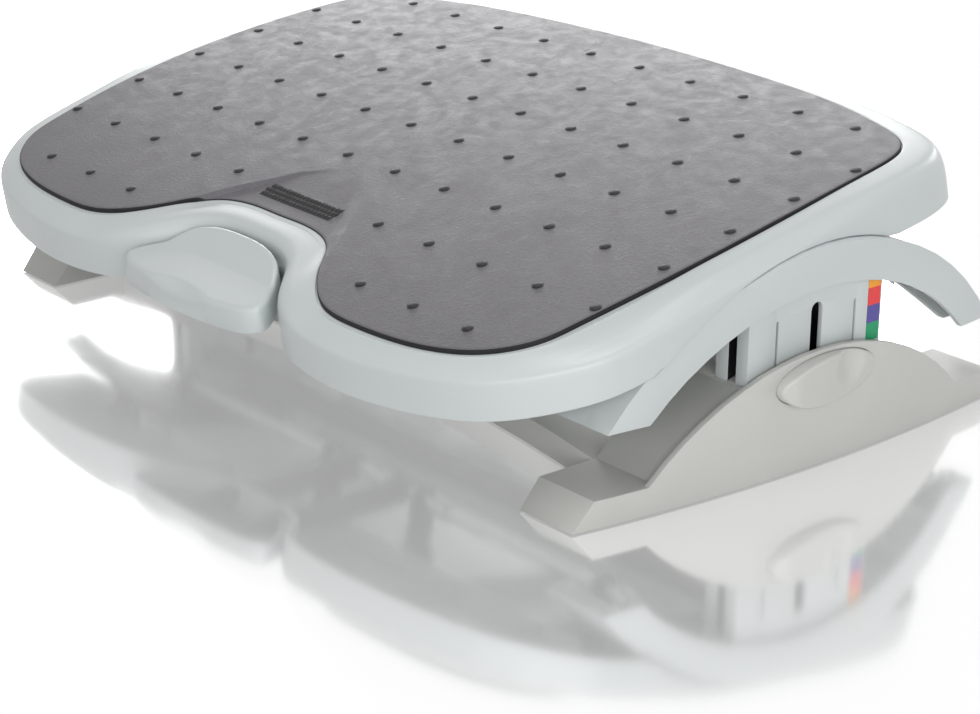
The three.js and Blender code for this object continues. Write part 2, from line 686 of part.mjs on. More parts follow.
function button() {
  const oval = ellipse(BUTTON_Y, BUTTON_Z, BUTTON_HALF_LENGTH, BUTTON_HALF_HEIGHT, BUTTON_SIDES);
  const outerX = HALF_WIDTH + BUTTON_FRONT_PROUD;
  const cap = prismX(oval, BUTTON_INNER_X, outerX);
  const front = BUTTON_Y - BUTTON_HALF_LENGTH;
  const back = BUTTON_Y + BUTTON_HALF_LENGTH;
  const slope = [
    point(BUTTON_INNER_X - SEAT_GAP, front - SEAT_GAP),
    point(HALF_WIDTH + BUTTON_FRONT_PROUD / 2, front - SEAT_GAP),
    point(outerX, front + BUTTON_FRONT_PROUD),
    point(outerX, BUTTON_Y - BUTTON_HALF_HEIGHT),
    point(HALF_WIDTH + BUTTON_REAR_PROUD, back),
    point(BUTTON_INNER_X - SEAT_GAP, back + SEAT_GAP),
  ];
  const shaped = cap.intersect(prismZ(slope, BUTTON_Z - BUTTON_HALF_LENGTH, BUTTON_Z + BUTTON_HALF_LENGTH));
  const dish = new THREE.SphereGeometry(DISH_RADIUS, 24, 16);
  dish.translate(HALF_WIDTH + BUTTON_FRONT_PROUD / 2 - DISH_DEPTH + DISH_RADIUS, DISH_Y, DISH_Z);
  const stem = bar("x", STEM_RADIUS, LEG_INNER_X, BUTTON_INNER_X + STEM_RADIUS, STEM_Y, BUTTON_Z);
  const pilotEnd = CLAMP_OUTER_X + CLAMP_SCREW_LENGTH;
  const pilot = bar(
    "x",
    CLAMP_SCREW_RADIUS + SEAT_GAP,
    LEG_INNER_X - OVERRUN,
    pilotEnd,
    STEM_Y,
    BUTTON_Z,
    SCREW_SIDES,
  );
  return shaped.subtract(solid(dish)).add(stem).subtract(pilot);
}

// The clamp block that the spring pulls against the leg's inner face, and its screw into the stem.
function clamp() {
  const block = box(
    CLAMP_INNER_X,
    CLAMP_OUTER_X,
    STEM_Y - CLAMP_HALF_LENGTH,
    STEM_Y + CLAMP_HALF_LENGTH,
    BUTTON_Z - CLAMP_HALF_HEIGHT,
    BUTTON_Z + CLAMP_HALF_HEIGHT,
  );
  const hole = bar(
    "x",
    CLAMP_SCREW_RADIUS + SEAT_GAP,
    CLAMP_INNER_X - OVERRUN,
    CLAMP_OUTER_X + OVERRUN,
    STEM_Y,
    BUTTON_Z,
    SCREW_SIDES,
  );
  return block.subtract(hole);
}

function clampScrew() {
  const seat = CLAMP_INNER_X - SEAT_GAP;
  const headEnd = seat - SCREW_HEAD_HEIGHT;
  const tip = CLAMP_OUTER_X + CLAMP_SCREW_LENGTH - SEAT_GAP;
  const head = bar("x", SCREW_HEAD_RADIUS, headEnd, seat, STEM_Y, BUTTON_Z, SCREW_SIDES);
  return head.add(bar("x", CLAMP_SCREW_RADIUS, headEnd, tip, STEM_Y, BUTTON_Z, SCREW_SIDES));
}

function buttonSpring() {
  const from = SHOE_INNER_X + SHOE_WALL + SEAT_GAP;
  const to = CLAMP_INNER_X - SEAT_GAP;
  return spring(BUTTON_SPRING_RADIUS, BUTTON_SPRING_WIRE, from, to, BUTTON_SPRING_TURNS, STEM_Y, BUTTON_Z);
}

// Platform, drawn about the middle of the pad's surface before it is tilted

const PIVOT_Y = PAD_CENTRE_FORWARD;
const PIVOT_Z = -PAD_HEIGHT_OVER_PIVOT;
const CROWN_STEPS = 12;
const OUTLINE_STEPS = 72;
const TRAY_FLOOR_TOP = PAD_THICKNESS + SEAT_GAP;
const TRAY_UNDERSIDE = TRAY_FLOOR_TOP + TRAY_WALL;

// Half outlines from the middle of the back to the middle of the pedal notch, as shares of the half
// width across and of the reach behind or in front of the middle.
const PAD_OUTLINE_SHARES = [
  [0, 1],
  [0.3, 0.985],
  [0.6, 0.94],
  [0.8, 0.865],
  [0.905, 0.8],
  [0.957, 0.7],
  [0.983, 0.45],
  [1, 0.05],
  [0.993, -0.3],
  [0.968, -0.62],
  [0.945, -0.775],
  [0.87, -0.9],
  [0.74, -0.975],
  [0.56, -1],
  [0.445, -0.99],
  [0.37, -0.94],
  [0.3, -0.855],
  [0.25, -0.77],
  [0.19, -0.705],
  [0.11, -0.677],
  [0, -0.677],
];
const RIM_OUTLINE_SHARES = [
  [0, 1],
  [0.283, 0.98],
  [0.569, 0.933],
  [0.77, 0.871],
  [0.906, 0.782],
  [0.954, 0.663],
  [0.974, 0.411],
  [0.995, 0.045],
  [1, -0.278],
  [0.985, -0.6],
  [0.938, -0.733],
  [0.844, -0.874],
  [0.71, -0.955],
  [0.53, -1],
  [0.385, -0.992],
  [0.294, -0.96],
  [0.242, -0.915],
  [0.2, -0.855],
  [0.158, -0.79],
  [0.085, -0.743],
  [0, -0.735],
];

// A smooth closed outline through a half outline's points and their mirror images, running anticlockwise.
function mirroredCurve(half, count) {
  const right = half.map((p) => new THREE.Vector3(p.x, p.y, 0));
  const left = right.slice(1, -1).reverse();
  const all = [...right, ...left.map((p) => new THREE.Vector3(-p.x, p.y, 0))];
  const curve = new THREE.CatmullRomCurve3(all, true, "centripetal");
  const points = [];
  for (let i = 0; i < count; i++) {
    const p = curve.getPoint(i / count);
    points.push(point(p.x, p.y));
  }
  return points.reverse();
}

// The platform's outlines: both have their points at the same shares of the way round.
function platformOutline(shares, halfWidth, back, front) {
  const half = shares.map(([x, y]) => point(x * halfWidth, y * (y > 0 ? back : front)));
  return mirroredCurve(half, OUTLINE_STEPS);
}

// A smooth closed outline, running anticlockwise, with each of its points moved straight inwards.
function drawnIn(points, inset) {
  const count = points.length;
  return points.map((p, i) => {
    const along = points[(i + 1) % count].clone().sub(points[(i + count - 1) % count]).normalize();
    return point(p.x - along.y * inset, p.y + along.x * inset);
  });
}

const padOutline = platformOutline(PAD_OUTLINE_SHARES, PAD_HALF_WIDTH, PAD_BACK, PAD_FRONT);
const rimOutline = platformOutline(RIM_OUTLINE_SHARES, RIM_HALF_WIDTH, RIM_BACK, RIM_FRONT);

// How far the crowned surface lies below its middle.
function crown(y) {
  return Math.sqrt(CROWN_RADIUS * CROWN_RADIUS - y * y) - CROWN_RADIUS;
}

// A crowned plate of a thickness, with its top a given drop below the pad's surface, wide enough to cut from.
function crownedSlab(topDrop, bottomDrop) {
  const reach = RIM_BACK + OVERRUN;
  const half = angleAtReach(CROWN_RADIUS, reach);
  const above = arc(0, -CROWN_RADIUS - topDrop, CROWN_RADIUS, half, -half, CROWN_STEPS);
  const below = arc(0, -CROWN_RADIUS - bottomDrop, CROWN_RADIUS, -half, half, CROWN_STEPS);
  return prismX([...above, ...below], -RIM_HALF_WIDTH - OVERRUN, RIM_HALF_WIDTH + OVERRUN);
}

// The moulded rim round the pad: a section swept between the pad's outline and the rim's outline.
// Across is the share of the way from the pad's edge to the rim's foot, and drops are shares of the
// rim's depth below the crown. At the front the rim sinks in a cove to a rolled edge, at the sides a
// level band lies above a shallower cove, at the rear the band ends in a plain skirt, and round the
// pedal notch the top stays nearly level.
const RIM_PAD_GAP = 0.5;
const RIM_LAP = 1;
const RIM_ACROSS_SHARES = [0, 0.08, 0.3, 0.55, 0.64, 0.76, 0.88, 0.97, 1];
const RIM_DROP_SHARES = {
  notch: [0, 0, 0.006, 0.026, 0.042, 0.071, 0.135, 0.29, 1],
  front: [0, 0.003, 0.13, 0.232, 0.258, 0.284, 0.316, 0.45, 1],
  side: [0, 0.003, 0.026, 0.055, 0.116, 0.187, 0.239, 0.29, 1],
  rear: [0, 0.003, 0.026, 0.058, 0.084, 0.145, 0.306, 0.55, 1],
};
const RIM_COVE_POINT = 3;
const RIM_ROLL_POINT = 6;
const RIM_FLOOR_SHARE = 0.12;
const RIM_WALL_SHARE = 0.84;
const RIM_UNDER_SHARE = 0.8;
const RIM_NOTCH_X = 60;
const RIM_LOBE_X = 110;
const RIM_FRONT_END_Y = -90;
const RIM_SIDE_START_Y = -40;
const RIM_SIDE_END_Y = 20;
const RIM_REAR_START_Y = 90;

// The drops of the rim's upper side at a point of its outline.
function rimDrops(p) {
  const { lerp, smoothstep } = THREE.MathUtils;
  const side = smoothstep(p.y, RIM_FRONT_END_Y, RIM_SIDE_START_Y);
  const rear = smoothstep(p.y, RIM_SIDE_END_Y, RIM_REAR_START_Y);
  const notch = p.y < 0 ? 1 - smoothstep(Math.abs(p.x), RIM_NOTCH_X, RIM_LOBE_X) : 0;
  const s = RIM_DROP_SHARES;
  return RIM_ACROSS_SHARES.map((across, i) => {
    const along = lerp(lerp(s.front[i], s.side[i], side), s.rear[i], rear);
    return RIM_DEPTH * lerp(along, s.notch[i], notch);
  });
}

// The rim's section at a point of its outline, as places across and below the crown.
function rimSection(p) {
  const drops = rimDrops(p);
  const seat = TRAY_UNDERSIDE + RIM_LAP;
  return [
    [0, seat],
    ...RIM_ACROSS_SHARES.map((across, i) => [across, drops[i]]),
    [RIM_WALL_SHARE, RIM_DEPTH],
    [RIM_UNDER_SHARE, Math.max(drops[RIM_ROLL_POINT] + TRAY_WALL, seat)],
    [RIM_ACROSS_SHARES[RIM_COVE_POINT], Math.max(drops[RIM_COVE_POINT] + TRAY_WALL, seat)],
  ];
}

// The rim as one closed ring of faces between the sections at the points of the two outlines.
function rimRing() {
  const positions = [];
  const count = padOutline.length;
  for (let i = 0; i < count; i++) {
    const inner = padOutline[i];
    const outer = rimOutline[i];
    const way = outer.clone().sub(inner);
    const start = inner.clone().addScaledVector(way, RIM_PAD_GAP / way.length());
    for (const [across, drop] of rimSection(outer)) {
      const p = start.clone().lerp(outer, across);
      positions.push(p.x, p.y, crown(p.y) - drop);
    }
  }
  const index = [];
  const n = rimSection(rimOutline[0]).length;
  for (let i = 0; i < count; i++) {
    const next = (i + 1) % count;
    for (let k = 0; k < n; k++) {
      const a = i * n + k;
      const b = i * n + ((k + 1) % n);
      const c = next * n + ((k + 1) % n);
      const d = next * n + k;
      index.push(a, b, c, a, c, d);
    }
  }
  const geometry = new THREE.BufferGeometry();
  geometry.setAttribute("position", new THREE.BufferAttribute(new Float32Array(positions), 3));
  geometry.setIndex(index);
  return solid(geometry);
}

// Rocker shoes, keepers and brake shaft
const ROCKER_INSET = 4;
const ROCKER_WIDTH = 34;
const ROCKER_INNER_X = ARCH_INNER_X + ROCKER_INSET;
const ROCKER_OUTER_X = ROCKER_INNER_X + ROCKER_WIDTH;
const ROCKER_WALL = 3;
const ROCKER_HALF_ANGLE = 22;
const ROCKER_FAN_DEPTH = 25;
const ROCKER_BOSS_Y = 57;
const ROCKER_BOSS_SIZE = 13;
const ROCKER_SCREW_SINK = 5;
const KEEPER_WALL = 5;
const KEEPER_HALF_ANGLE = 13;
const KEEPER_HOOK = 5;
const KEEPER_TOE = 4;
const SHAFT_UNDER_RAIL = 23;
const SHAFT_ORBIT = ARCH_RADIUS - SHAFT_UNDER_RAIL;
const SHAFT_ANGLE = 20;
const SHAFT_RADIUS = 4;
const SHAFT_CLEARANCE = 0.35;
const HANGER_WALL = 4;
const HANGER_RADIUS = 8.5;
const HANGER_X_SHARES = [-0.9, -0.2, 0.2, 0.9];
const TRAY_RIB_WALL = 2.5;
const TRAY_RIB_DEPTH = 12;
const TRAY_RIB_X_SHARES = [-0.72, -0.44, 0.44, 0.72];
const TRAY_RIB_Y_SHARES = [-0.42, 0.28, 0.62];

// A point at a radius and angle about the rocking axis, in the platform's own frame.
function aboutPivot(radius, angle) {
  const a = THREE.MathUtils.degToRad(angle);
  return point(PIVOT_Y + radius * Math.sin(a), PIVOT_Z + radius * Math.cos(a));
}

const shaftCentre = aboutPivot(SHAFT_ORBIT, -SHAFT_ANGLE);

// Pedal lever
const LEVER_ARM_X = 24;
const LEVER_ARM_WALL = 8;
const LEVER_HUB_RADIUS = 8;
const LEVER_SLOT_CLEARANCE = 1.2;
const LEVER_PLATE_WALL = 3;
const LEVER_ARM_DROP = 24;
const LEVER_ARM_HEIGHT = 10;
const LEVER_KNEE_SHARE = 0.8;

// Pedal cap: its half outline in shares of its half width across and of its length from the front
const PEDAL_HALF_WIDTH = 63;
const PEDAL_BACK_Y = -140.7;
const PEDAL_FRONT_Y = -194;
const PEDAL_CREASE_Y = -161;
const PEDAL_BACK_DROP = 7;
const PEDAL_CREASE_DROP = 16.5;
const PEDAL_FRONT_DROP = 19.5;
const PEDAL_BOTTOM_DROP = 33;
const PEDAL_WALL = 3;
const PEDAL_FRONT_DRAFT = 3;
const PEDAL_STEPS = 44;
const PEDAL_OUTLINE_SHARES = [
  [0, 1],
  [0.27, 0.985],
  [0.5, 0.905],
  [0.7, 0.73],
  [0.86, 0.55],
  [0.965, 0.394],
  [0.99, 0.245],
  [0.86, 0.11],
  [0.48, 0.028],
  [0, 0],
];

function tray() {
  const reach = RIM_BACK + OVERRUN;
  const floorOutline = padOutline.map((p, i) => p.clone().lerp(rimOutline[i], RIM_FLOOR_SHARE));
  const floor = prismZ(floorOutline, -RIM_BACK, OVERRUN)
    .intersect(crownedSlab(TRAY_FLOOR_TOP, TRAY_UNDERSIDE));
  const ribZone = prismZ(floorOutline, -RIM_BACK, OVERRUN)
    .intersect(crownedSlab(TRAY_UNDERSIDE - TRAY_WALL / 2, TRAY_UNDERSIDE + TRAY_RIB_DEPTH));
  const ribs = [];
  for (const share of TRAY_RIB_X_SHARES) {
    const x = share * PAD_HALF_WIDTH;
    ribs.push(box(x, x + TRAY_RIB_WALL, -reach, reach, -RIM_BACK, 0).intersect(ribZone));
  }
  for (const share of TRAY_RIB_Y_SHARES) {
    const y = share * PAD_BACK;
    ribs.push(box(-reach, reach, y, y + TRAY_RIB_WALL, -RIM_BACK, 0).intersect(ribZone));
  }
  let made = join([rimRing(), floor, ...ribs]);
  const railZoneInner = ARCH_INNER_X - KEEPER_WALL - 2 * RUNNING_GAP;
  const sweep = ARCH_RADIUS + RUNNING_GAP;
  for (const side of [-1, 1]) {
    const inner = side * railZoneInner;
    const outer = side * (HALF_WIDTH + OVERRUN);
    made = made.subtract(
      bar("x", sweep, inner, outer, PIVOT_Y, PIVOT_Z, 72),
    );
    const rocker = box(
      inner,
      side * (ROCKER_OUTER_X + SEAT_GAP),
      -ROCKER_REACH,
      ROCKER_REACH,
      -RIM_BACK,
      0,
    );
    made = made.subtract(rocker.intersect(crownedSlab(TRAY_UNDERSIDE, RIM_BACK)));
    const armX = side * LEVER_ARM_X;
    const armHalf = LEVER_ARM_WALL / 2 + LEVER_SLOT_CLEARANCE;
    made = made.subtract(
      box(armX - armHalf, armX + armHalf, -PAD_FRONT, -TRAY_RIB_DEPTH, -RIM_BACK, -LEVER_ARM_DROP + OVERRUN),
    );
    for (const end of [-1, 1]) {
      const x = side * ROCKER_BOSS_X;
      const holeTop = crown(ROCKER_BOSS_Y) - TRAY_FLOOR_TOP - TRAY_WALL / 3;
      made = made.subtract(
        bar("z", SCREW_HOLE_RADIUS, -RIM_DEPTH, holeTop, x, PIVOT_Y + end * ROCKER_BOSS_Y, SCREW_SIDES),
      );
    }
  }
  return made;
}

const ROCKER_BOSS_X = (ROCKER_INNER_X + ROCKER_OUTER_X) / 2;
const ROCKER_FAN_RADIUS = ARCH_RADIUS + ROCKER_FAN_DEPTH;
const ROCKER_FAN_REACH = ROCKER_FAN_RADIUS * Math.sin(THREE.MathUtils.degToRad(ROCKER_HALF_ANGLE));
const ROCKER_REACH = ROCKER_FAN_REACH + PIVOT_Y + SEAT_GAP;

// A rocker shoe: an arc that rides on the rail, with two side walls and two screw posts up to the tray.
function rocker() {
  const inner = ARCH_RADIUS + RUNNING_GAP;
  const half = ROCKER_HALF_ANGLE;
  const fan = [
    ...arc(PIVOT_Y, PIVOT_Z, ROCKER_FAN_RADIUS, half, -half, ARC_STEPS),
    ...arc(PIVOT_Y, PIVOT_Z, inner, -half, half, ARC_STEPS),
  ];
  const strip = [
    ...arc(PIVOT_Y, PIVOT_Z, inner + ROCKER_WALL, half, -half, ARC_STEPS),
    ...arc(PIVOT_Y, PIVOT_Z, inner, -half, half, ARC_STEPS),
  ];
  const space = prismX(fan, ROCKER_INNER_X, ROCKER_OUTER_X)
    .intersect(crownedSlab(TRAY_UNDERSIDE + SEAT_GAP, RIM_BACK));
  const walls = [
    box(ROCKER_INNER_X, ROCKER_INNER_X + ROCKER_WALL, -RIM_BACK, RIM_BACK, -RIM_BACK, 0),
    box(ROCKER_OUTER_X - ROCKER_WALL, ROCKER_OUTER_X, -RIM_BACK, RIM_BACK, -RIM_BACK, 0),
    prismX(strip, ROCKER_INNER_X, ROCKER_OUTER_X),
  ];
  const holes = [];
  for (const end of [-1, 1]) {
    const y = PIVOT_Y + end * ROCKER_BOSS_Y;
    const h = ROCKER_BOSS_SIZE / 2;
    walls.push(box(ROCKER_BOSS_X - h, ROCKER_BOSS_X + h, y - h, y + h, -RIM_BACK, 0));
    holes.push(bar("z", SCREW_HOLE_RADIUS, -RIM_BACK, 0, ROCKER_BOSS_X, y, SCREW_SIDES));
    const sinkTop = rockerScrewSeat() - SEAT_GAP;
    holes.push(bar("z", SCREW_HEAD_RADIUS + SEAT_GAP, -RIM_BACK, sinkTop, ROCKER_BOSS_X, y, SCREW_SIDES));
  }
  return join(walls).intersect(space).subtract(join(holes));
}

// The height of the face that a rocker screw's head bears on.
function rockerScrewSeat() {
  const inner = ARCH_RADIUS + RUNNING_GAP;
  return PIVOT_Z + Math.sqrt(inner * inner - ROCKER_BOSS_Y * ROCKER_BOSS_Y) + ROCKER_SCREW_SINK + SEAT_GAP;
}

function rockerScrew(end) {
  const seat = rockerScrewSeat() - 2 * SEAT_GAP;
  const tip = crown(ROCKER_BOSS_Y) - TRAY_FLOOR_TOP - TRAY_WALL / 3 - SEAT_GAP;
  return screwZ(seat, tip - seat, ROCKER_BOSS_X, PIVOT_Y + end * ROCKER_BOSS_Y);
}

// A keeper: a curved plate beside the rail, with a toe that hooks under the rail's inner lip.
function keeper() {
  const outerX = ARCH_INNER_X - RUNNING_GAP;
  const innerX = outerX - KEEPER_WALL;
  const lipRadius = ARCH_RADIUS - ARCH_LIP - RUNNING_GAP;
  const half = KEEPER_HALF_ANGLE;
  const plate = [
    ...arc(PIVOT_Y, PIVOT_Z, ROCKER_FAN_RADIUS, half, -half, ARC_STEPS / 2),
    ...arc(PIVOT_Y, PIVOT_Z, lipRadius - KEEPER_HOOK, -half, half, ARC_STEPS / 2),
  ];
  const toe = [
    ...arc(PIVOT_Y, PIVOT_Z, lipRadius, half, -half, ARC_STEPS / 2),
    ...arc(PIVOT_Y, PIVOT_Z, lipRadius - KEEPER_HOOK, -half, half, ARC_STEPS / 2),
  ];
  return prismX(plate, innerX, outerX)
    .intersect(crownedSlab(TRAY_UNDERSIDE + SEAT_GAP, RIM_BACK))
    .add(prismX(toe, innerX, outerX + RUNNING_GAP + KEEPER_TOE));
}

// A hanger: a plate under the tray with a round eye that carries the brake shaft.
function hanger(share) {
  const x = share * ARCH_INNER_X;
  const half = HANGER_WALL / 2;
  const eye = bar("x", HANGER_RADIUS, x - half, x + half, shaftCentre.x, shaftCentre.y);
  const web = box(
    x - half,
    x + half,
    shaftCentre.x - HANGER_RADIUS,
    shaftCentre.x + HANGER_RADIUS,
    shaftCentre.y,
    0,
  );
  const flangeHalf = HANGER_WALL * 2;
  const flange = box(
    x - flangeHalf,
    x + flangeHalf,
    shaftCentre.x - HANGER_RADIUS,
    shaftCentre.x + HANGER_RADIUS,
    -TRAY_UNDERSIDE - HANGER_WALL - HANGER_WALL / 2,
    0,
  );
  const boreRadius = SHAFT_RADIUS + SHAFT_CLEARANCE;
  const bore = bar("x", boreRadius, x - OVERRUN, x + OVERRUN, shaftCentre.x, shaftCentre.y);
  return eye
    .add(web)
    .add(flange)
    .intersect(crownedSlab(TRAY_UNDERSIDE + SEAT_GAP, RIM_BACK))
    .subtract(bore);
}

// The pad with its round nubs, left out where the grip strip and the pedal notch are.
const STRIP_HALF_LENGTH = 33;
const STRIP_HALF_WIDTH = 6.5;
const STRIP_Y = -99.5;
const STRIP_THICKNESS = 1.6;
const STRIP_RIBS = 11;
const STRIP_RIB_HEIGHT = 0.8;
const NUB_SIDES = 8;
const NUB_ROWS = [
  { row: 3, columns: 5 },
  { row: 2, columns: 6 },
  { row: 1, columns: 6 },
  { row: 0, columns: 6 },
  { row: -1, columns: 6 },
  { row: -2, columns: 6, skip: 1 },
  { row: -3, columns: 5, skip: 2 },
];

function pad() {
  const slab = prismZ(padOutline, -RIM_BACK, OVERRUN).intersect(crownedSlab(0, PAD_THICKNESS));
  const nubs = [];
  for (const { row, columns, skip = 0 } of NUB_ROWS) {
    const y = row * NUB_PITCH_Y;
    for (let column = skip; column < columns; column++) {
      const x = (column + 0.5) * NUB_PITCH_X;
      const from = crown(y) - PAD_THICKNESS / 2;
      for (const side of [-1, 1]) {
        nubs.push(bar("z", NUB_DIAMETER / 2, from, crown(y) + NUB_HEIGHT, side * x, y, NUB_SIDES));
      }
    }
  }
  const pocket = box(
    -STRIP_HALF_LENGTH - SEAT_GAP,
    STRIP_HALF_LENGTH + SEAT_GAP,
    STRIP_Y - STRIP_HALF_WIDTH - SEAT_GAP,
    STRIP_Y + STRIP_HALF_WIDTH + SEAT_GAP,
    -RIM_BACK,
    RIM_BACK,
  ).intersect(crownedSlab(-OVERRUN, STRIP_THICKNESS + SEAT_GAP));
  return join([slab, ...nubs]).subtract(pocket);
}

function gripStrip() {
  const whole = box(
    -STRIP_HALF_LENGTH,
    STRIP_HALF_LENGTH,
    STRIP_Y - STRIP_HALF_WIDTH,
    STRIP_Y + STRIP_HALF_WIDTH,
    -RIM_BACK,
    RIM_BACK,
  );
  const pieces = [whole.intersect(crownedSlab(0, STRIP_THICKNESS))];
  const pitch = (2 * STRIP_HALF_LENGTH) / STRIP_RIBS;
  for (let i = 0; i < STRIP_RIBS; i++) {
    const x = -STRIP_HALF_LENGTH + (i + 0.5) * pitch;
    const rib = box(
      x - pitch / 4,
      x + pitch / 4,
      STRIP_Y - STRIP_HALF_WIDTH,
      STRIP_Y + STRIP_HALF_WIDTH,
      -RIM_BACK,
      RIM_BACK,
    );
    pieces.push(rib.intersect(crownedSlab(-STRIP_RIB_HEIGHT, STRIP_THICKNESS / 2)));
  }
  return join(pieces);
}

// Pedal, lever, brake shaft and brake shoes

// The pedal cap's outline in plan, drawn in by an inset.
function pedalOutline(inset) {
  const length = PEDAL_BACK_Y - PEDAL_FRONT_Y;
  const half = PEDAL_OUTLINE_SHARES.map(([x, y]) => point(x * PEDAL_HALF_WIDTH, PEDAL_FRONT_Y + y * length));
  return drawnIn(mirroredCurve(half, PEDAL_STEPS), inset);
}

// The pedal cap's side view in (y, z), drawn in by an inset: raised back, crease, sloping tread, front face.
function pedalSide(inset, bottom) {
  const slope = (PEDAL_CREASE_DROP - PEDAL_BACK_DROP) / (PEDAL_BACK_Y - PEDAL_CREASE_Y);
  return [
    point(PEDAL_BACK_Y + OVERRUN, -PEDAL_BACK_DROP - inset + OVERRUN * slope),
    point(PEDAL_CREASE_Y, -PEDAL_CREASE_DROP - inset),
    point(PEDAL_FRONT_Y + PEDAL_FRONT_DRAFT + inset, -PEDAL_FRONT_DROP - inset),
    point(PEDAL_FRONT_Y + inset, bottom),
    point(PEDAL_BACK_Y + OVERRUN, bottom),
  ];
}

function pedal() {
  const bottom = -PEDAL_BOTTOM_DROP;
  const outside = prismX(pedalSide(0, bottom), -PEDAL_HALF_WIDTH - OVERRUN, PEDAL_HALF_WIDTH + OVERRUN)
    .intersect(prismZ(pedalOutline(0), bottom, 0));
  const core = prismX(
    pedalSide(PEDAL_WALL, bottom - OVERRUN),
    -PEDAL_HALF_WIDTH - OVERRUN,
    PEDAL_HALF_WIDTH + OVERRUN,
  ).intersect(prismZ(pedalOutline(PEDAL_WALL), bottom - OVERRUN, 0));
  const armHalf = LEVER_ARM_X + LEVER_ARM_WALL / 2 + SEAT_GAP;
  const mouth = box(
    -armHalf,
    armHalf,
    PEDAL_BACK_Y - 3 * PEDAL_WALL,
    PEDAL_BACK_Y + OVERRUN,
    bottom - OVERRUN,
    -LEVER_ARM_DROP + SEAT_GAP,
  );
  return outside.subtract(core).subtract(mouth);
}

// The lever: two arms on the brake shaft with a plate between them that fills the pedal cap.
function lever() {
  const pieces = [];
  const plateBack = PEDAL_BACK_Y - 2 * PEDAL_WALL;
  const plateFront = PEDAL_FRONT_Y + 4 * PEDAL_WALL;
  const armTop = -LEVER_ARM_DROP;
  const kneeY = PEDAL_BACK_Y * LEVER_KNEE_SHARE;
  const plateTop = -PEDAL_FRONT_DROP - PEDAL_WALL - SEAT_GAP;
  for (const side of [-1, 1]) {
    const x = side * LEVER_ARM_X;
    const half = LEVER_ARM_WALL / 2;
    pieces.push(bar("x", LEVER_HUB_RADIUS, x - half, x + half, shaftCentre.x, shaftCentre.y));
    const arm = [
      point(shaftCentre.x, shaftCentre.y + LEVER_HUB_RADIUS),
      point(kneeY, armTop),
      point(plateFront, armTop),
      point(plateFront, plateTop - LEVER_PLATE_WALL),
      point(plateBack, armTop - LEVER_ARM_HEIGHT),
      point(kneeY, armTop - LEVER_ARM_HEIGHT - LEVER_PLATE_WALL),
      point(shaftCentre.x, shaftCentre.y - LEVER_HUB_RADIUS),
    ];
    pieces.push(prismX(arm, x - half, x + half));
  }
  const plate = prismZ(pedalOutline(PEDAL_WALL + SEAT_GAP), plateTop - LEVER_PLATE_WALL, plateTop);
  const plateZone = box(-PEDAL_HALF_WIDTH, PEDAL_HALF_WIDTH, plateFront, plateBack, -PAD_FRONT, 0);
  pieces.push(plate.intersect(plateZone));
  const bore = bar(
    "x",
    SHAFT_RADIUS + SEAT_GAP,
    -PEDAL_HALF_WIDTH,
    PEDAL_HALF_WIDTH,
    shaftCentre.x,
    shaftCentre.y,
  );
  return join(pieces).subtract(bore);
}

const BRAKE_CAM_RADIUS = 6;
const BRAKE_FLAT_HEIGHT = 5.3;
const BRAKE_FLAT_HALF_ANGLE = 5;
const BRAKE_CAM_LENGTH = 7;
const BRAKE_CAM_OUTER_X = SHOE_INNER_X - SEAT_GAP;
const BRAKE_LINING_HALF_LENGTH = 4.5;
const BRAKE_LINING_WALL = 1.8;

function brakeShaft() {
  const halfX = ARCH_INNER_X + ARCH_WALL + KEEPER_TOE;
  return bar("x", SHAFT_RADIUS, -halfX, halfX, shaftCentre.x, shaftCentre.y);
}

// The brake cam that turns with the shaft under the rail's lip, with a flat on top for its lining.
function brakeCam() {
  const innerX = BRAKE_CAM_OUTER_X - BRAKE_CAM_LENGTH;
  const disc = bar("x", BRAKE_CAM_RADIUS, innerX, BRAKE_CAM_OUTER_X, shaftCentre.x, shaftCentre.y);
  const half = BRAKE_FLAT_HALF_ANGLE;
  const below = SHAFT_ORBIT - BRAKE_CAM_RADIUS - OVERRUN;
  const flat = [
    ...arc(PIVOT_Y, PIVOT_Z, SHAFT_ORBIT + BRAKE_FLAT_HEIGHT, -SHAFT_ANGLE + half, -SHAFT_ANGLE - half, 4),
    ...arc(PIVOT_Y, PIVOT_Z, below, -SHAFT_ANGLE - half, -SHAFT_ANGLE + half, 4),
  ];
  const bore = bar(
    "x",
    SHAFT_RADIUS + SEAT_GAP,
    innerX - OVERRUN,
    BRAKE_CAM_OUTER_X + OVERRUN,
    shaftCentre.x,
    shaftCentre.y,
  );
  return disc.intersect(prismX(flat, innerX, BRAKE_CAM_OUTER_X)).subtract(bore);
}

function brakeLining() {
  const base = SHAFT_ORBIT + BRAKE_FLAT_HEIGHT + SEAT_GAP;
  const half = THREE.MathUtils.radToDeg(BRAKE_LINING_HALF_LENGTH / base);
  const outline = [
    ...arc(PIVOT_Y, PIVOT_Z, base + BRAKE_LINING_WALL, -SHAFT_ANGLE + half, -SHAFT_ANGLE - half, 4),
    ...arc(PIVOT_Y, PIVOT_Z, base, -SHAFT_ANGLE - half, -SHAFT_ANGLE + half, 4),
  ];
  return prismX(outline, ARCH_INNER_X, BRAKE_CAM_OUTER_X);
}

// The torsion spring that lifts the pedal, wound round the shaft beside the lever.
const PEDAL_SPRING_RADIUS = 5.8;
const PEDAL_SPRING_WIRE = 1.4;
const PEDAL_SPRING_TURNS = 6;
const PEDAL_SPRING_START_X = 53;
const PEDAL_SPRING_LENGTH = 16;

function pedalSpring() {
  const to = PEDAL_SPRING_START_X + PEDAL_SPRING_LENGTH;
  return spring(
    PEDAL_SPRING_RADIUS,
    PEDAL_SPRING_WIRE,
    PEDAL_SPRING_START_X,
    to,
    PEDAL_SPRING_TURNS,
    shaftCentre.x,
    shaftCentre.y,
  );
}

// Assembly

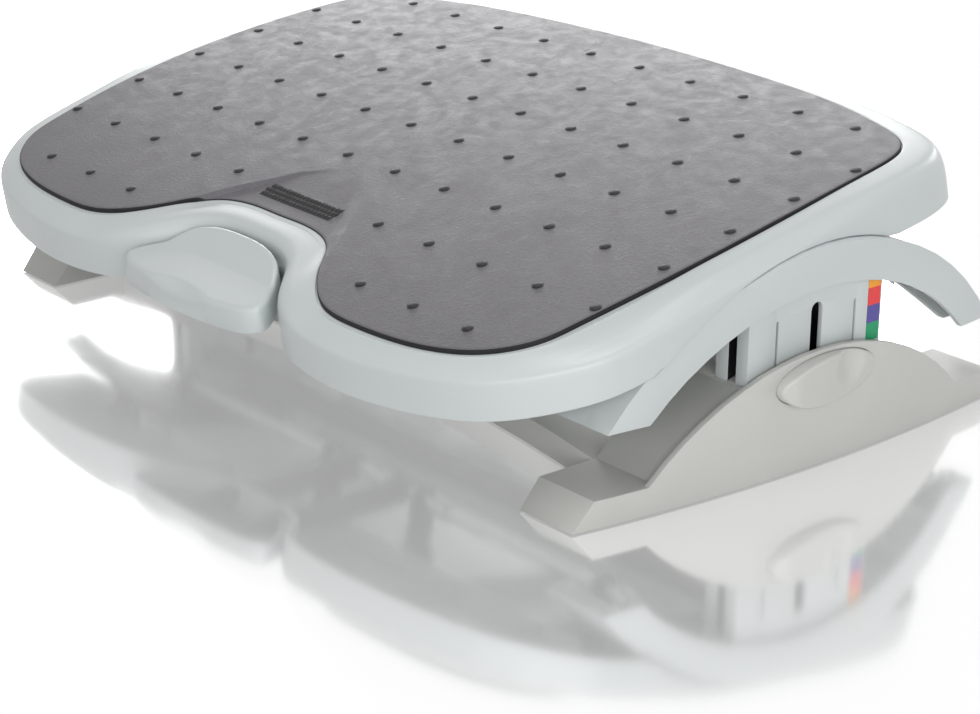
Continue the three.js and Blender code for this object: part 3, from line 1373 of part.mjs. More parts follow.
const SIDES = [
  { name: "right", sign: 1 },
  { name: "left", sign: -1 },
];
const ENDS = [
  { name: "front", sign: -1 },
  { name: "rear", sign: 1 },
];

function sideGroup(sign, meshes) {
  const group = new THREE.Group();
  group.scale.x = sign;
  group.add(...meshes);
  return group;
}

function base() {
  const group = new THREE.Group();
  const front = frontBeam();
  group.add(mesh("front_beam", front, basePlastic));
  const rear = mesh("rear_beam", front, basePlastic);
  rear.scale.y = -1;
  group.add(rear);
  for (const { name, sign } of SIDES) {
    const pieces = [mesh(`shoe_${name}`, shoe(), basePlastic)];
    pieces.push(mesh(`button_spring_${name}`, buttonSpring(), steel));
    for (const end of ENDS) {
      pieces.push(mesh(`rubber_foot_${end.name}_${name}`, rubberFoot(end.sign), darkRubber));
      pieces.push(mesh(`beam_screw_${end.name}_${name}`, beamScrew(end.sign), steel));
    }
    group.add(sideGroup(sign, pieces));
  }
  return group;
}

function carriage() {
  const group = new THREE.Group();
  for (const end of ENDS) {
    group.add(mesh(`tie_${end.name}`, tie(end.sign), innerPlastic));
  }
  for (const { name, sign } of SIDES) {
    const pieces = [mesh(`arch_${name}`, arch(), plastic)];
    pieces.push(mesh(`height_scale_${name}`, heightScale(), scalePrint));
    for (const end of ENDS) {
      pieces.push(mesh(`tie_screw_${end.name}_${name}`, tieScrew(end.sign), steel));
    }
    group.add(sideGroup(sign, pieces));
  }
  return group;
}

function buttons() {
  const group = new THREE.Group();
  for (const { name, sign } of SIDES) {
    const pieces = [
      mesh(`button_${name}`, button(), basePlastic),
      mesh(`clamp_${name}`, clamp(), innerPlastic),
      mesh(`clamp_screw_${name}`, clampScrew(), steel),
    ];
    group.add(sideGroup(sign, pieces));
  }
  return group;
}

function platform() {
  const group = new THREE.Group();
  group.add(mesh("tray", tray(), plastic));
  group.add(mesh("pad", pad(), padRubber));
  group.add(mesh("grip_strip", gripStrip(), darkRubber));
  group.add(mesh("pedal_spring", pedalSpring(), steel));
  HANGER_X_SHARES.forEach((share, i) => {
    group.add(mesh(`shaft_hanger_${i + 1}`, hanger(share), innerPlastic));
  });
  for (const { name, sign } of SIDES) {
    const pieces = [
      mesh(`rocker_${name}`, rocker(), innerPlastic),
      mesh(`keeper_${name}`, keeper(), innerPlastic),
    ];
    for (const end of ENDS) {
      pieces.push(mesh(`rocker_screw_${end.name}_${name}`, rockerScrew(end.sign), steel));
    }
    group.add(sideGroup(sign, pieces));
  }
  group.add(pedalGroup());
  return group;
}

function pedalGroup() {
  const group = new THREE.Group();
  group.add(mesh("pedal", pedal(), plastic));
  group.add(mesh("pedal_lever", lever(), innerPlastic));
  group.add(mesh("brake_shaft", brakeShaft(), steel));
  for (const { name, sign } of SIDES) {
    const pieces = [
      mesh(`brake_cam_${name}`, brakeCam(), innerPlastic),
      mesh(`brake_lining_${name}`, brakeLining(), darkRubber),
    ];
    group.add(sideGroup(sign, pieces));
  }
  return group;
}

// The platform rocks about an axis under the base: it is placed there, tilted, and carried back up.
function tilted(child) {
  child.position.set(0, -PIVOT_Y, -PIVOT_Z);
  const rocking = new THREE.Group();
  rocking.add(child);
  rocking.position.z = ARCH_CENTRE_Z;
  rocking.rotation.x = THREE.MathUtils.degToRad(TILT);
  return rocking;
}

// The origin lies on the floor under the middle of the whole object.
const footrest = new THREE.Group();
footrest.add(base(), carriage(), buttons(), tilted(platform()));
footrest.position.y = -new THREE.Box3().setFromObject(footrest, true).getCenter(new THREE.Vector3()).y;

export default footrest;
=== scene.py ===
import math

import bmesh
import bpy
from mathutils import Matrix, Vector


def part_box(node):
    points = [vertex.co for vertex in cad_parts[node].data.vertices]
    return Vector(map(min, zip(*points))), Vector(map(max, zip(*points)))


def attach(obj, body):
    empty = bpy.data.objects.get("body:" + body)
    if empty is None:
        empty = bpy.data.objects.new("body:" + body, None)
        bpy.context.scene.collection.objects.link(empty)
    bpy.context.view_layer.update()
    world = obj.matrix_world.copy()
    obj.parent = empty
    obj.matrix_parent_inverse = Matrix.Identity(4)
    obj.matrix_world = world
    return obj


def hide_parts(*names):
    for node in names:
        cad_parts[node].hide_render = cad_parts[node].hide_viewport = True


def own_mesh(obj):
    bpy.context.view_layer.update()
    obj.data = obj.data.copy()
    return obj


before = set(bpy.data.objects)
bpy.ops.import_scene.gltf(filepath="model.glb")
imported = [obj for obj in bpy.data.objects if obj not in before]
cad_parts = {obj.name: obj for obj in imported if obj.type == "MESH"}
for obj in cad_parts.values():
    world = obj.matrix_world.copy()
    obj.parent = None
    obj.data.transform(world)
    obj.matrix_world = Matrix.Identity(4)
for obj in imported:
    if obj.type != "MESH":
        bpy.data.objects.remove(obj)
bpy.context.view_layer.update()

MM = 0.001
SIDES = (("right", 1), ("left", -1))

# The platform's own frame: millimetres about the middle of the pad's surface, before it is tilted.
TILT = math.radians(11.25)
PIVOT_HEIGHT = -58
PAD_HEIGHT_OVER_PIVOT = 191.4
PAD_CENTRE_FORWARD = 1.8
CROWN_RADIUS = 1540

shoe_low, shoe_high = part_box("shoe_right")
MIDDLE_Y = (shoe_low.y + shoe_high.y) / 2 / MM

to_deck = (
    Matrix.Scale(MM, 4)
    @ Matrix.Translation((0, MIDDLE_Y, PIVOT_HEIGHT))
    @ Matrix.Rotation(TILT, 4, "X")
    @ Matrix.Translation((0, -PAD_CENTRE_FORWARD, PAD_HEIGHT_OVER_PIVOT))
)
to_base = Matrix.Scale(MM, 4) @ Matrix.Translation((0, MIDDLE_Y, 0))


# Outlines

SHORTEST = 1e-4


def centripetal(points, count):
    """A closed centripetal Catmull-Rom curve through 2-D points, at even parameters."""
    total = len(points)
    out = []
    for i in range(count):
        t = total * i / count
        k = int(t)
        w = t - k
        p = [Vector(points[(k + j) % total]) for j in (-1, 0, 1, 2)]
        d0, d1, d2 = [max((p[j + 1] - p[j]).length_squared ** 0.25, SHORTEST) for j in range(3)]
        m1 = ((p[1] - p[0]) / d0 - (p[2] - p[0]) / (d0 + d1) + (p[2] - p[1]) / d1) * d1
        m2 = ((p[2] - p[1]) / d1 - (p[3] - p[1]) / (d1 + d2) + (p[3] - p[2]) / d2) * d1
        c2 = -3 * p[1] + 3 * p[2] - 2 * m1 - m2
        c3 = 2 * p[1] - 2 * p[2] + m1 + m2
        out.append(p[1] + m1 * w + c2 * w * w + c3 * w**3)
    return out


def open_curve(points, steps):
    """A smooth open curve through 2-D points, with a number of steps between neighbours."""
    p = [Vector(q) for q in points]
    p = [2 * p[0] - p[1], *p, 2 * p[-1] - p[-2]]
    out = []
    for k in range(1, len(p) - 2):
        for s in range(steps):
            w = s / steps
            a, b, c, d = p[k - 1 : k + 3]
            square = 2 * a - 5 * b + 4 * c - d
            cube = 3 * b - a - 3 * c + d
            out.append((2 * b + (c - a) * w + square * w * w + cube * w**3) / 2)
    out.append(p[-2])
    return out


def mirrored(half, count):
    """A closed outline through a half outline on +x and its mirror image, running clockwise."""
    right = [tuple(p) for p in half]
    left = [(-x, y) for x, y in right[-2:0:-1]]
    return centripetal(right + left, count)


def drawn_in(points, inset):
    """A clockwise outline with each point moved straight inwards."""
    n = len(points)
    out = []
    for i, p in enumerate(points):
        along = (points[(i + 1) % n] - points[i - 1]).normalized()
        out.append(Vector((p.x + along.y * inset, p.y - along.x * inset)))
    return out


def softened(points, passes):
    """An outline with its small bends evened out."""
    n = len(points)
    for _ in range(passes):
        points = [(points[i - 1] + 2 * points[i] + points[(i + 1) % n]) / 4 for i in range(n)]
    return points


# Mesh making

SAME_POINT = 1e-7


def piece(name, body, verts, faces, materials, matrix, face_materials=None, smooth_angle=40):
    """A smooth-shaded mesh object of points in millimetres, which rides on a body."""
    mesh = bpy.data.meshes.new(name)
    mesh.from_pydata([tuple(matrix @ Vector(v)) for v in verts], [], faces)
    for m in materials:
        mesh.materials.append(m)
    if face_materials:
        for polygon, index in zip(mesh.polygons, face_materials):
            polygon.material_index = index
    bm = bmesh.new()
    bm.from_mesh(mesh)
    bmesh.ops.remove_doubles(bm, verts=bm.verts, dist=SAME_POINT)
    bmesh.ops.recalc_face_normals(bm, faces=bm.faces)
    limit = math.radians(smooth_angle)
    for face in bm.faces:
        face.smooth = True
    for edge in bm.edges:
        edge.smooth = len(edge.link_faces) == 2 and edge.calc_face_angle(0) < limit
    bm.to_mesh(mesh)
    bm.free()
    obj = bpy.data.objects.new(name, mesh)
    bpy.context.scene.collection.objects.link(obj)
    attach(obj, body)
    return obj


def tube_faces(rows, count, offset=0):
    """Quads between rows of points, each row a closed loop of the same count."""
    faces = []
    for r in range(rows - 1):
        this, after = offset + r * count, offset + (r + 1) * count
        for i in range(count):
            j = (i + 1) % count
            faces.append((this + i, this + j, after + j, after + i))
    return faces


def capped_tube(rows, count):
    """The same quads, with a flat face at each end."""
    last = (rows - 1) * count
    return [*tube_faces(rows, count), tuple(range(count)), tuple(range(last, last + count))]


def fan(count):
    """Triangles from the first point to the row after it."""
    return [(0, 1 + i, 1 + (i + 1) % count) for i in range(count)]


# Materials

# What a noise texture's values mostly lie between
NOISE_LOW, NOISE_HIGH = 0.3, 0.7


def add_node(tree, kind, **values):
    """A new node of a tree, with its properties and its inputs' values."""
    node = tree.nodes.new(kind)
    for key, value in values.items():
        if hasattr(node, key):
            setattr(node, key, value)
        else:
            node.inputs[key.replace("_", " ")].default_value = value
    return node


class Finish:
    """A Principled material whose colour, roughness and bump come from nodes."""

    def __init__(self, name, roughness, **sockets):
        self.material = bpy.data.materials.new(name)
        self.material.use_nodes = True
        self.tree = self.material.node_tree
        self.bsdf = self.tree.nodes["Principled BSDF"]
        self.bsdf.inputs["Roughness"].default_value = roughness
        for key, value in sockets.items():
            self.bsdf.inputs[key.replace("_", " ")].default_value = value
        self.place = self.add("ShaderNodeTexCoord").outputs["Object"]
        self.height = None

    def add(self, kind, **values):
        return add_node(self.tree, kind, **values)

    def link(self, a, b):
        self.tree.links.new(a, b)

    def noise(self, scale, detail=3.0, roughness=0.5, stretch=None):
        node = self.add("ShaderNodeTexNoise", Scale=scale, Detail=detail, Roughness=roughness)
        place = self.place
        if stretch:
            mapping = self.add("ShaderNodeMapping", Scale=stretch)
            self.link(place, mapping.inputs["Vector"])
            place = mapping.outputs["Vector"]
        self.link(place, node.inputs["Vector"])
        return node.outputs["Fac"]

    def cells(self, scale, feature="F1"):
        node = self.add("ShaderNodeTexVoronoi", feature=feature, Scale=scale)
        self.link(self.place, node.inputs["Vector"])
        return node.outputs["Distance"]

    def ranged(self, value, to_low=0, to_high=1, low=NOISE_LOW, high=NOISE_HIGH):
        node = self.add("ShaderNodeMapRange", From_Min=low, From_Max=high, To_Min=to_low, To_Max=to_high)
        self.link(value, node.inputs["Value"])
        return node.outputs["Result"]

    def math(self, operation, a, b):
        node = self.add("ShaderNodeMath", operation=operation)
        for target, value in zip(node.inputs, (a, b)):
            if isinstance(value, (int, float)):
                target.default_value = value
            else:
                self.link(value, target)
        return node.outputs["Value"]

    def blend(self, *parts):
        """The sum of values, each times its share."""
        total = None
        for value, share in parts:
            part = self.math("MULTIPLY", value, share)
            total = part if total is None else self.math("ADD", total, part)
        return total

    def mix(self, factor, a, b):
        """A colour between a and b, each a colour or a socket."""
        node = self.add("ShaderNodeMix", data_type="RGBA")
        self.link(factor, node.inputs["Factor"])
        for name, value in (("A", a), ("B", b)):
            target = next(s for s in node.inputs if s.name == name and s.type == "RGBA")
            if isinstance(value, tuple):
                target.default_value = (*value, 1)
            else:
                self.link(value, target)
        return next(s for s in node.outputs if s.type == "RGBA")

    def inside(self, ranges):
        """1 within a box of object coordinates in millimetres, x without its sign, and 0 outside it."""
        xyz = self.add("ShaderNodeSeparateXYZ")
        self.link(self.place, xyz.inputs["Vector"])
        result = 1.0
        for axis, (low, high) in ranges.items():
            value = xyz.outputs[axis]
            if axis == "X":
                value = self.math("ABSOLUTE", value, 0.0)
            result = self.math("MULTIPLY", result, self.math("GREATER_THAN", value, low * MM))
            result = self.math("MULTIPLY", result, self.math("LESS_THAN", value, high * MM))
        return result

    def colour(self, value):
        self.link(value, self.bsdf.inputs["Base Color"])

    def rough(self, value):
        self.link(value, self.bsdf.inputs["Roughness"])

    def bump(self, height, distance, strength=1.0):
        node = self.add("ShaderNodeBump", Strength=strength, Distance=distance)
        self.link(height, node.inputs["Height"])
        if self.height is not None:
            self.link(self.height, node.inputs["Normal"])
        self.height = node.outputs["Normal"]
        self.link(self.height, self.bsdf.inputs["Normal"])


def srgb(r, g, b):
    """A linear colour from 0 to 255 display values."""
    return tuple((c / 255 / 12.92) if c <= 10 else ((c / 255 + 0.055) / 1.055) ** 2.4 for c in (r, g, b))


def shade(colour, share):
    return tuple(c * share for c in colour)


def moulded(name, colour, roughness, texture=0.00003, spread=0.035, rub=0.05, dark=()):
    """Satin moulded plastic: a spark-eroded grain, faint flow marks and slightly uneven gloss.

    Within the boxes in dark it is painted nearly black: painted shade that stands for the shaded inside of a
    leg."""
    f = Finish(name, roughness)
    flow = f.noise(9, 3, 0.5, (1, 0.35, 1))
    specks = f.noise(1500, 2, 0.6)
    tone = f.blend((flow, 0.8), (specks, 0.2))
    face = f.mix(f.ranged(tone), shade(colour, 1 - spread), shade(colour, 1 + spread))
    # Painted shade: inside each box the colour turns nearly black
    for ranges in dark:
        face = f.mix(f.inside(ranges), face, PAINTED_SHADE_COLOUR)
    f.colour(face)
    smear = f.noise(26, 4, 0.55)
    f.rough(f.ranged(smear, roughness - rub, roughness + rub))
    f.bump(f.noise(1100, 2, 0.5), texture)
    f.bump(f.cells(900), texture * 0.6)
    return f.material


DECK_COLOUR = srgb(206, 212, 212)
BASE_COLOUR = srgb(203, 203, 199)
INNER_COLOUR = srgb(92, 96, 98)
PAD_COLOUR = srgb(96, 94, 98)
EDGE_COLOUR = srgb(17, 17, 19)
NUB_COLOUR = srgb(22, 21, 24)
# Painted shade: the near-black colour that stands for the shaded inside of a leg
PAINTED_SHADE_COLOUR = srgb(24, 24, 26)

# The legs' hollow core and the grooves at their ends, in millimetres from the object's middle: boxes where
# the arch's plastic gets painted shade
LEG_CORE_X, LEG_CORE_REACH = (249.8, 267.2), 40.7
GROOVE_X, GROOVE_REACH = (255.6, 262.0), 50.2
LEG_INSIDE_Z = (30, 118)

deck_plastic = moulded("deck_plastic_satin", DECK_COLOUR, 0.36)
arch_painted_shade_and_plastic = moulded(
    "arch_painted_shade_and_plastic_satin", DECK_COLOUR, 0.36,
    # Painted shade in the legs' hollow cores and grooves
    dark=[
        {"X": x, "Y": (MIDDLE_Y - half, MIDDLE_Y + half), "Z": LEG_INSIDE_Z}
        for x, half in ((LEG_CORE_X, LEG_CORE_REACH), (GROOVE_X, GROOVE_REACH))
    ],
)
base_plastic = moulded("base_plastic_satin", BASE_COLOUR, 0.44)
inner_plastic = moulded("inner_plastic_satin", INNER_COLOUR, 0.5, spread=0.06)


PAD_DARKEST, PAD_LIGHTEST = 0.68, 1.32
PAD_NOISE = {"low": 0.34, "high": 0.66}


def pad_finish():
    """Soft grey rubber with a mottled leather-like grain and faint scuffs."""
    f = Finish("pad_rubber_grain", 0.5, Specular_IOR_Level=0.55)
    clouds = f.noise(16, 5, 0.62)
    mottle = f.noise(95, 6, 0.7)
    specks = f.noise(620, 3, 0.7)
    tone = f.ranged(f.blend((clouds, 0.28), (mottle, 0.44), (specks, 0.28)), **PAD_NOISE)
    f.colour(f.mix(tone, shade(PAD_COLOUR, PAD_DARKEST), shade(PAD_COLOUR, PAD_LIGHTEST)))
    f.rough(f.ranged(mottle, 0.43, 0.6, **PAD_NOISE))
    f.bump(f.noise(420, 5, 0.7), 0.00012)
    f.bump(f.cells(700, "SMOOTH_F1"), 0.00009)
    return f.material


RUBBER_DARKEST, RUBBER_LIGHTEST, RUBBER_RUB = 0.82, 1.25, 0.08


def rubber(name, colour, roughness, grain=0.00005):
    """Dark mottled rubber."""
    f = Finish(name, roughness, Specular_IOR_Level=0.4)
    mottle = f.noise(160, 4, 0.6)
    f.colour(f.mix(f.ranged(mottle), shade(colour, RUBBER_DARKEST), shade(colour, RUBBER_LIGHTEST)))
    f.rough(f.ranged(mottle, roughness - RUBBER_RUB, roughness + RUBBER_RUB))
    f.bump(f.noise(900, 3, 0.6), grain)
    return f.material


STEEL_DARKEST, STEEL_LIGHTEST = (0.42, 0.43, 0.44), (0.62, 0.63, 0.64)


def steel_finish():
    """Zinc-plated steel, streaked along its length."""
    f = Finish("zinc_plated_steel", 0.32, Metallic=1.0)
    streaks = f.noise(700, 3, 0.6, (0.15, 1, 1))
    f.colour(f.mix(f.ranged(streaks), STEEL_DARKEST, STEEL_LIGHTEST))
    f.rough(f.ranged(streaks, 0.26, 0.42))
    f.bump(streaks, 0.00001)
    return f.material


# The height scale's bands: the height of each one's lower edge and its colour
SCALE_BANDS = (
    (59, srgb(0, 158, 104)),
    (69, srgb(88, 78, 158)),
    (79, srgb(236, 64, 66)),
    (89, srgb(250, 166, 48)),
)
INK_SPREAD, INK_WORN_LOW = 0.06, 0.35


def scale_finish():
    """The height scale's four printed bands, told apart by height, with a slightly worn ink surface."""
    f = Finish("height_scale_print", 0.45)
    xyz = f.add("ShaderNodeSeparateXYZ")
    f.link(f.place, xyz.inputs["Vector"])
    worn = f.noise(300, 4, 0.6)
    wear = f.ranged(worn, low=INK_WORN_LOW)
    ink = None
    for bottom, colour in SCALE_BANDS:
        band = f.mix(wear, shade(colour, 1 - INK_SPREAD), shade(colour, 1 + INK_SPREAD))
        if ink is None:
            ink = band
        else:
            above = f.math("GREATER_THAN", xyz.outputs["Z"], bottom * MM)
            ink = f.mix(above, ink, band)
    f.colour(ink)
    f.rough(f.ranged(worn, 0.38, 0.52))
    f.bump(f.noise(1200, 2), 0.00001)
    return f.material


pad_rubber = pad_finish()
edge_rubber = rubber("pad_edge_rubber", EDGE_COLOUR, 0.75)
nub_rubber = rubber("nub_rubber", NUB_COLOUR, 0.55, 0.00002)
strip_rubber = rubber("strip_rubber", srgb(26, 25, 28), 0.55)
foot_rubber = rubber("foot_rubber", srgb(40, 40, 42), 0.8)
steel = steel_finish()
scale_print = scale_finish()


# CAD nodes that keep their shape: welded, edges rounded, smooth where they curve

SMOOTH_BELOW = math.radians(32)
BEVEL_ABOVE = math.radians(40)
FLAT_WITHIN = math.radians(0.6)
WELD_DISTANCE = 2e-6


def smooth_group():
    """A node group that drops the facets' stored normals and shades smooth below a crease angle."""
    group = bpy.data.node_groups.new("smooth_by_angle", "GeometryNodeTree")
    for way in ("INPUT", "OUTPUT"):
        group.interface.new_socket("Geometry", in_out=way, socket_type="NodeSocketGeometry")
    start = add_node(group, "NodeGroupInput")
    end = add_node(group, "NodeGroupOutput")
    drop = add_node(group, "GeometryNodeRemoveAttribute", Name="custom_normal")
    angle = add_node(group, "GeometryNodeInputMeshEdgeAngle")
    compare = add_node(group, "FunctionNodeCompare", data_type="FLOAT", operation="LESS_THAN", B=SMOOTH_BELOW)
    edges = add_node(group, "GeometryNodeSetShadeSmooth", domain="EDGE")
    faces = add_node(group, "GeometryNodeSetShadeSmooth", domain="FACE", Shade_Smooth=True)
    link = group.links.new
    link(start.outputs[0], drop.inputs["Geometry"])
    link(angle.outputs["Unsigned Angle"], compare.inputs["A"])
    link(drop.outputs["Geometry"], faces.inputs["Geometry"])
    link(faces.outputs["Geometry"], edges.inputs["Geometry"])
    link(compare.outputs["Result"], edges.inputs["Shade Smooth"])
    link(edges.outputs["Geometry"], end.inputs[0])
    return group


smooth_by_angle = smooth_group()


def dress(name, material, bevel=0.0):
    """Gives a node its material, welds and flattens its facets, and rounds its edges by a bevel."""
    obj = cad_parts[name]
    if not obj.material_slots:
        obj.data.materials.append(material)
    for s in obj.material_slots:
        s.material = material
    weld = obj.modifiers.new("weld", "WELD")
    weld.merge_threshold = WELD_DISTANCE
    if bevel:
        flat = obj.modifiers.new("flat", "DECIMATE")
        flat.decimate_type = "DISSOLVE"
        flat.angle_limit = FLAT_WITHIN
        edge = obj.modifiers.new("edge", "BEVEL")
        edge.width = bevel * MM
        edge.segments = 2
        edge.limit_method = "ANGLE"
        edge.angle_limit = BEVEL_ABOVE
        edge.use_clamp_overlap = True
    smooth = obj.modifiers.new("smooth", "NODES")
    smooth.node_group = smooth_by_angle


# The start of a node's name, its material and its bevel in millimetres; the first that fits counts
KEPT = (
    ("arch_", arch_painted_shade_and_plastic, 0.5),
    ("shoe_", base_plastic, 0.5),
    ("front_beam", base_plastic, 0.6),
    ("rear_beam", base_plastic, 0.6),
    ("tie_front", inner_plastic, 0.4),
    ("tie_rear", inner_plastic, 0.4),
    ("height_scale_", scale_print, 0),
    ("rubber_foot_", foot_rubber, 0.4),
    ("clamp_screw", steel, 0),
    ("clamp_", inner_plastic, 0.4),
    ("rocker_screw", steel, 0),
    ("rocker_", inner_plastic, 0.4),
    ("keeper_", inner_plastic, 0.3),
    ("shaft_hanger", inner_plastic, 0.4),
    ("brake_shaft", steel, 0),
    ("brake_cam", steel, 0),
    ("brake_lining", foot_rubber, 0),
    ("beam_screw", steel, 0),
    ("tie_screw", steel, 0),
    ("pedal_lever", inner_plastic, 0.5),
)
REPLACED = ("tray", "pad", "grip_strip", "pedal", "button_right", "button_left", "pedal_spring",
            "button_spring_right", "button_spring_left")

for node_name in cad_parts:
    if node_name not in REPLACED:
        _, material, bevel = next(k for k in KEPT if node_name.startswith(k[0]))
        dress(node_name, material, bevel)


# Platform

PAD_OUTLINE_SHARES = [
    (0, 1), (0.3, 0.985), (0.6, 0.94), (0.8, 0.865), (0.905, 0.8), (0.957, 0.7), (0.983, 0.45), (1, 0.05),
    (0.993, -0.3), (0.968, -0.62), (0.945, -0.775), (0.87, -0.9), (0.74, -0.975), (0.56, -1), (0.445, -0.99),
    (0.37, -0.94), (0.3, -0.855), (0.25, -0.77), (0.19, -0.705), (0.11, -0.677), (0, -0.677),
]
RIM_OUTLINE_SHARES = [
    (0, 1), (0.283, 0.98), (0.569, 0.933), (0.77, 0.871), (0.906, 0.782), (0.954, 0.663), (0.974, 0.411),
    (0.995, 0.045), (1, -0.278), (0.985, -0.6), (0.938, -0.733), (0.844, -0.874), (0.71, -0.955), (0.53, -1),
    (0.385, -0.992), (0.294, -0.96), (0.242, -0.915), (0.2, -0.855), (0.158, -0.79), (0.085, -0.743),
    (0, -0.735),
]
PAD_HALF_WIDTH, PAD_BACK, PAD_FRONT = 253.5, 182, 171
RIM_HALF_WIDTH, RIM_BACK, RIM_FRONT = 277.2, 202, 187
OUTLINE_COUNT, OUTLINE_PASSES = 320, 6


def platform_outline(shares, half_width, back, front):
    half = [(x * half_width, y * (back if y > 0 else front)) for x, y in shares]
    return softened(mirrored(half, OUTLINE_COUNT), OUTLINE_PASSES)


pad_outline = platform_outline(PAD_OUTLINE_SHARES, PAD_HALF_WIDTH, PAD_BACK, PAD_FRONT)
rim_outline = platform_outline(RIM_OUTLINE_SHARES, RIM_HALF_WIDTH, RIM_BACK, RIM_FRONT)


def crown(y):
    return math.sqrt(CROWN_RADIUS**2 - y * y) - CROWN_RADIUS


def smoothstep(t):
    t = min(max(t, 0), 1)
    return t * t * (3 - 2 * t)


# The toe hollow round the grip strip: a shallow ramp with a creased flank on each side of a point.
HOLLOW_TIP_Y = -58
HOLLOW_DEPTH = 2.0
HOLLOW_RAMP = 52
HOLLOW_CREASE = {"left": 2.2, "right": 13}
HOLLOW_FLANK = ((0, -58), (12, -66), (27, -78), (35, -91), (48, -108), (62, -132), (72, -160))


def hollow_half_width(y):
    for (x0, y0), (x1, y1) in zip(HOLLOW_FLANK, HOLLOW_FLANK[1:]):
        if y0 >= y >= y1:
            return x0 + (x1 - x0) * (y0 - y) / (y0 - y1)
    return 0 if y > HOLLOW_TIP_Y else HOLLOW_FLANK[-1][0]


def hollow(x, y, width=None):
    """How far the pad's surface is sunk at a point; width is that of the flank's bend."""
    if y >= HOLLOW_TIP_Y:
        return 0
    depth = HOLLOW_DEPTH * smoothstep((HOLLOW_TIP_Y - y) / HOLLOW_RAMP)
    inside = hollow_half_width(y) - abs(x)
    return depth * smoothstep(inside / (width or HOLLOW_CREASE["left" if x < 0 else "right"]) + 0.5)


RIM_PAD_GAP = 0.5
RIM_DIP_WIDTH, RIM_DIP_REACH_SHARE, RIM_DIP_SHARE = 16, 0.8, 0.85
RIM_STEPS = 3
PAD_THICKNESS = 2.5

# The rim's section: shares of the way from the pad to the rim's foot, and drops below the crown, which
# change along the rim from the pedal notch round the front lobes and the sides to the rear.
RIM_START = ((0.0, 5.6), (0.0, 4.4))
RIM_ACROSS = (
    0.008, 0.03, 0.065, 0.12, 0.2, 0.3, 0.4, 0.5, 0.58,
    0.66, 0.74, 0.81, 0.87, 0.915, 0.945, 0.965, 0.98, 0.992,
)
RIM_DROPS = {
    "notch": (1.9, 1.45, 1.3, 1.3, 1.3, 1.3, 1.35, 1.5, 1.7, 2.1, 2.8, 3.8, 5.2, 7.2, 9.4, 12.2, 17, 24),
    "front": (3.9, 3.4, 3.25, 3.45, 3.85, 4.4, 5.0, 5.7, 6.3, 7.0, 7.7, 8.4, 9.1, 10.0, 11.4, 13.7, 18, 25),
    "side": (2.1, 1.6, 1.4, 1.4, 1.45, 1.55, 1.75, 2.1, 2.7, 3.7, 5.0, 6.2, 7.1, 7.9, 8.9, 10.4, 15, 23),
    "rear": (1.6, 1.1, 0.95, 0.95, 1.0, 1.1, 1.2, 1.35, 1.5, 1.8, 2.5, 4.0, 6.5, 9.4, 12.5, 15.8, 20.5, 27),
}
RIM_FOOT = ((0.999, 30.4), (0.985, 31), (0.9, 31), (0.86, 30.7), (0.845, 29.6))
RIM_INSIDE = ((0.83, 20), (0.79, 14), (0.7, 11), (0.55, 8.6), (0.3, 6.8), (0.1, 6.3), (0.0, 6.3))
NOTCH_X, LOBE_X = 60, 110
FRONT_END_Y, SIDE_START_Y, SIDE_END_Y, REAR_START_Y = -105, -25, 20, 95

# The platform's edge is cut along the rails, with this gap to them.
RAIL_RADIUS = 181
RAIL_GAP = 0.7


def lerp(a, b, t):
    return a + (b - a) * t


def rim_section(outer):
    """The rim's closed section at a point of its outline."""
    side = smoothstep((outer.y - FRONT_END_Y) / (SIDE_START_Y - FRONT_END_Y))
    rear = smoothstep((outer.y - SIDE_END_Y) / (REAR_START_Y - SIDE_END_Y))
    notch = 1 - smoothstep((abs(outer.x) - NOTCH_X) / (LOBE_X - NOTCH_X)) if outer.y < 0 else 0
    upper = []
    for i, across in enumerate(RIM_ACROSS):
        along = lerp(lerp(RIM_DROPS["front"][i], RIM_DROPS["side"][i], side), RIM_DROPS["rear"][i], rear)
        upper.append((across, lerp(along, RIM_DROPS["notch"][i], notch)))
    return open_curve([*RIM_START, *upper, *RIM_FOOT, *RIM_INSIDE], RIM_STEPS)


def rail_height(y):
    """The height of the surface that the platform clears the rails by, in the platform's own frame."""
    reach = (RAIL_RADIUS + RAIL_GAP) ** 2 - (y - PAD_CENTRE_FORWARD) ** 2
    return -PAD_HEIGHT_OVER_PIVOT + math.sqrt(max(reach, 0))


def cut_along_rail(row):
    """A section's points with those below the rail's surface gathered on it where the section meets it."""
    heights = [p.z - rail_height(p.y) for p in row]
    below = [h < 0 for h in heights]
    if not any(below):
        return row
    first = below.index(True)
    last = len(below) - 1 - below[::-1].index(True)
    enter = row[first - 1].lerp(row[first], heights[first - 1] / (heights[first - 1] - heights[first]))
    leave = row[last].lerp(row[last + 1], heights[last] / (heights[last] - heights[last + 1]))
    out = list(row)
    for k in range(first, last + 1):
        out[k] = enter.lerp(leave, (k - first) / max(last - first, 1))
        out[k].z = rail_height(out[k].y)
    return out


def rim():
    verts = []
    count = 0
    for i, inner in enumerate(pad_outline):
        outer = rim_outline[i]
        start = inner + (outer - inner).normalized() * RIM_PAD_GAP
        row = []
        for across, drop in rim_section(outer):
            p = start.lerp(outer, across)
            fade = 1 - smoothstep(across / RIM_DIP_REACH_SHARE)
            dip = hollow(p.x, p.y, RIM_DIP_WIDTH) * fade * RIM_DIP_SHARE
            row.append(Vector((p.x, p.y, crown(p.y) - drop - dip)))
        row = cut_along_rail(row)
        count = len(row)
        verts += [tuple(p) for p in row]
    faces = []
    for i in range(OUTLINE_COUNT):
        j = (i + 1) % OUTLINE_COUNT
        for k in range(count):
            m = (k + 1) % count
            faces.append((i * count + k, i * count + m, j * count + m, j * count + k))
    return verts, faces


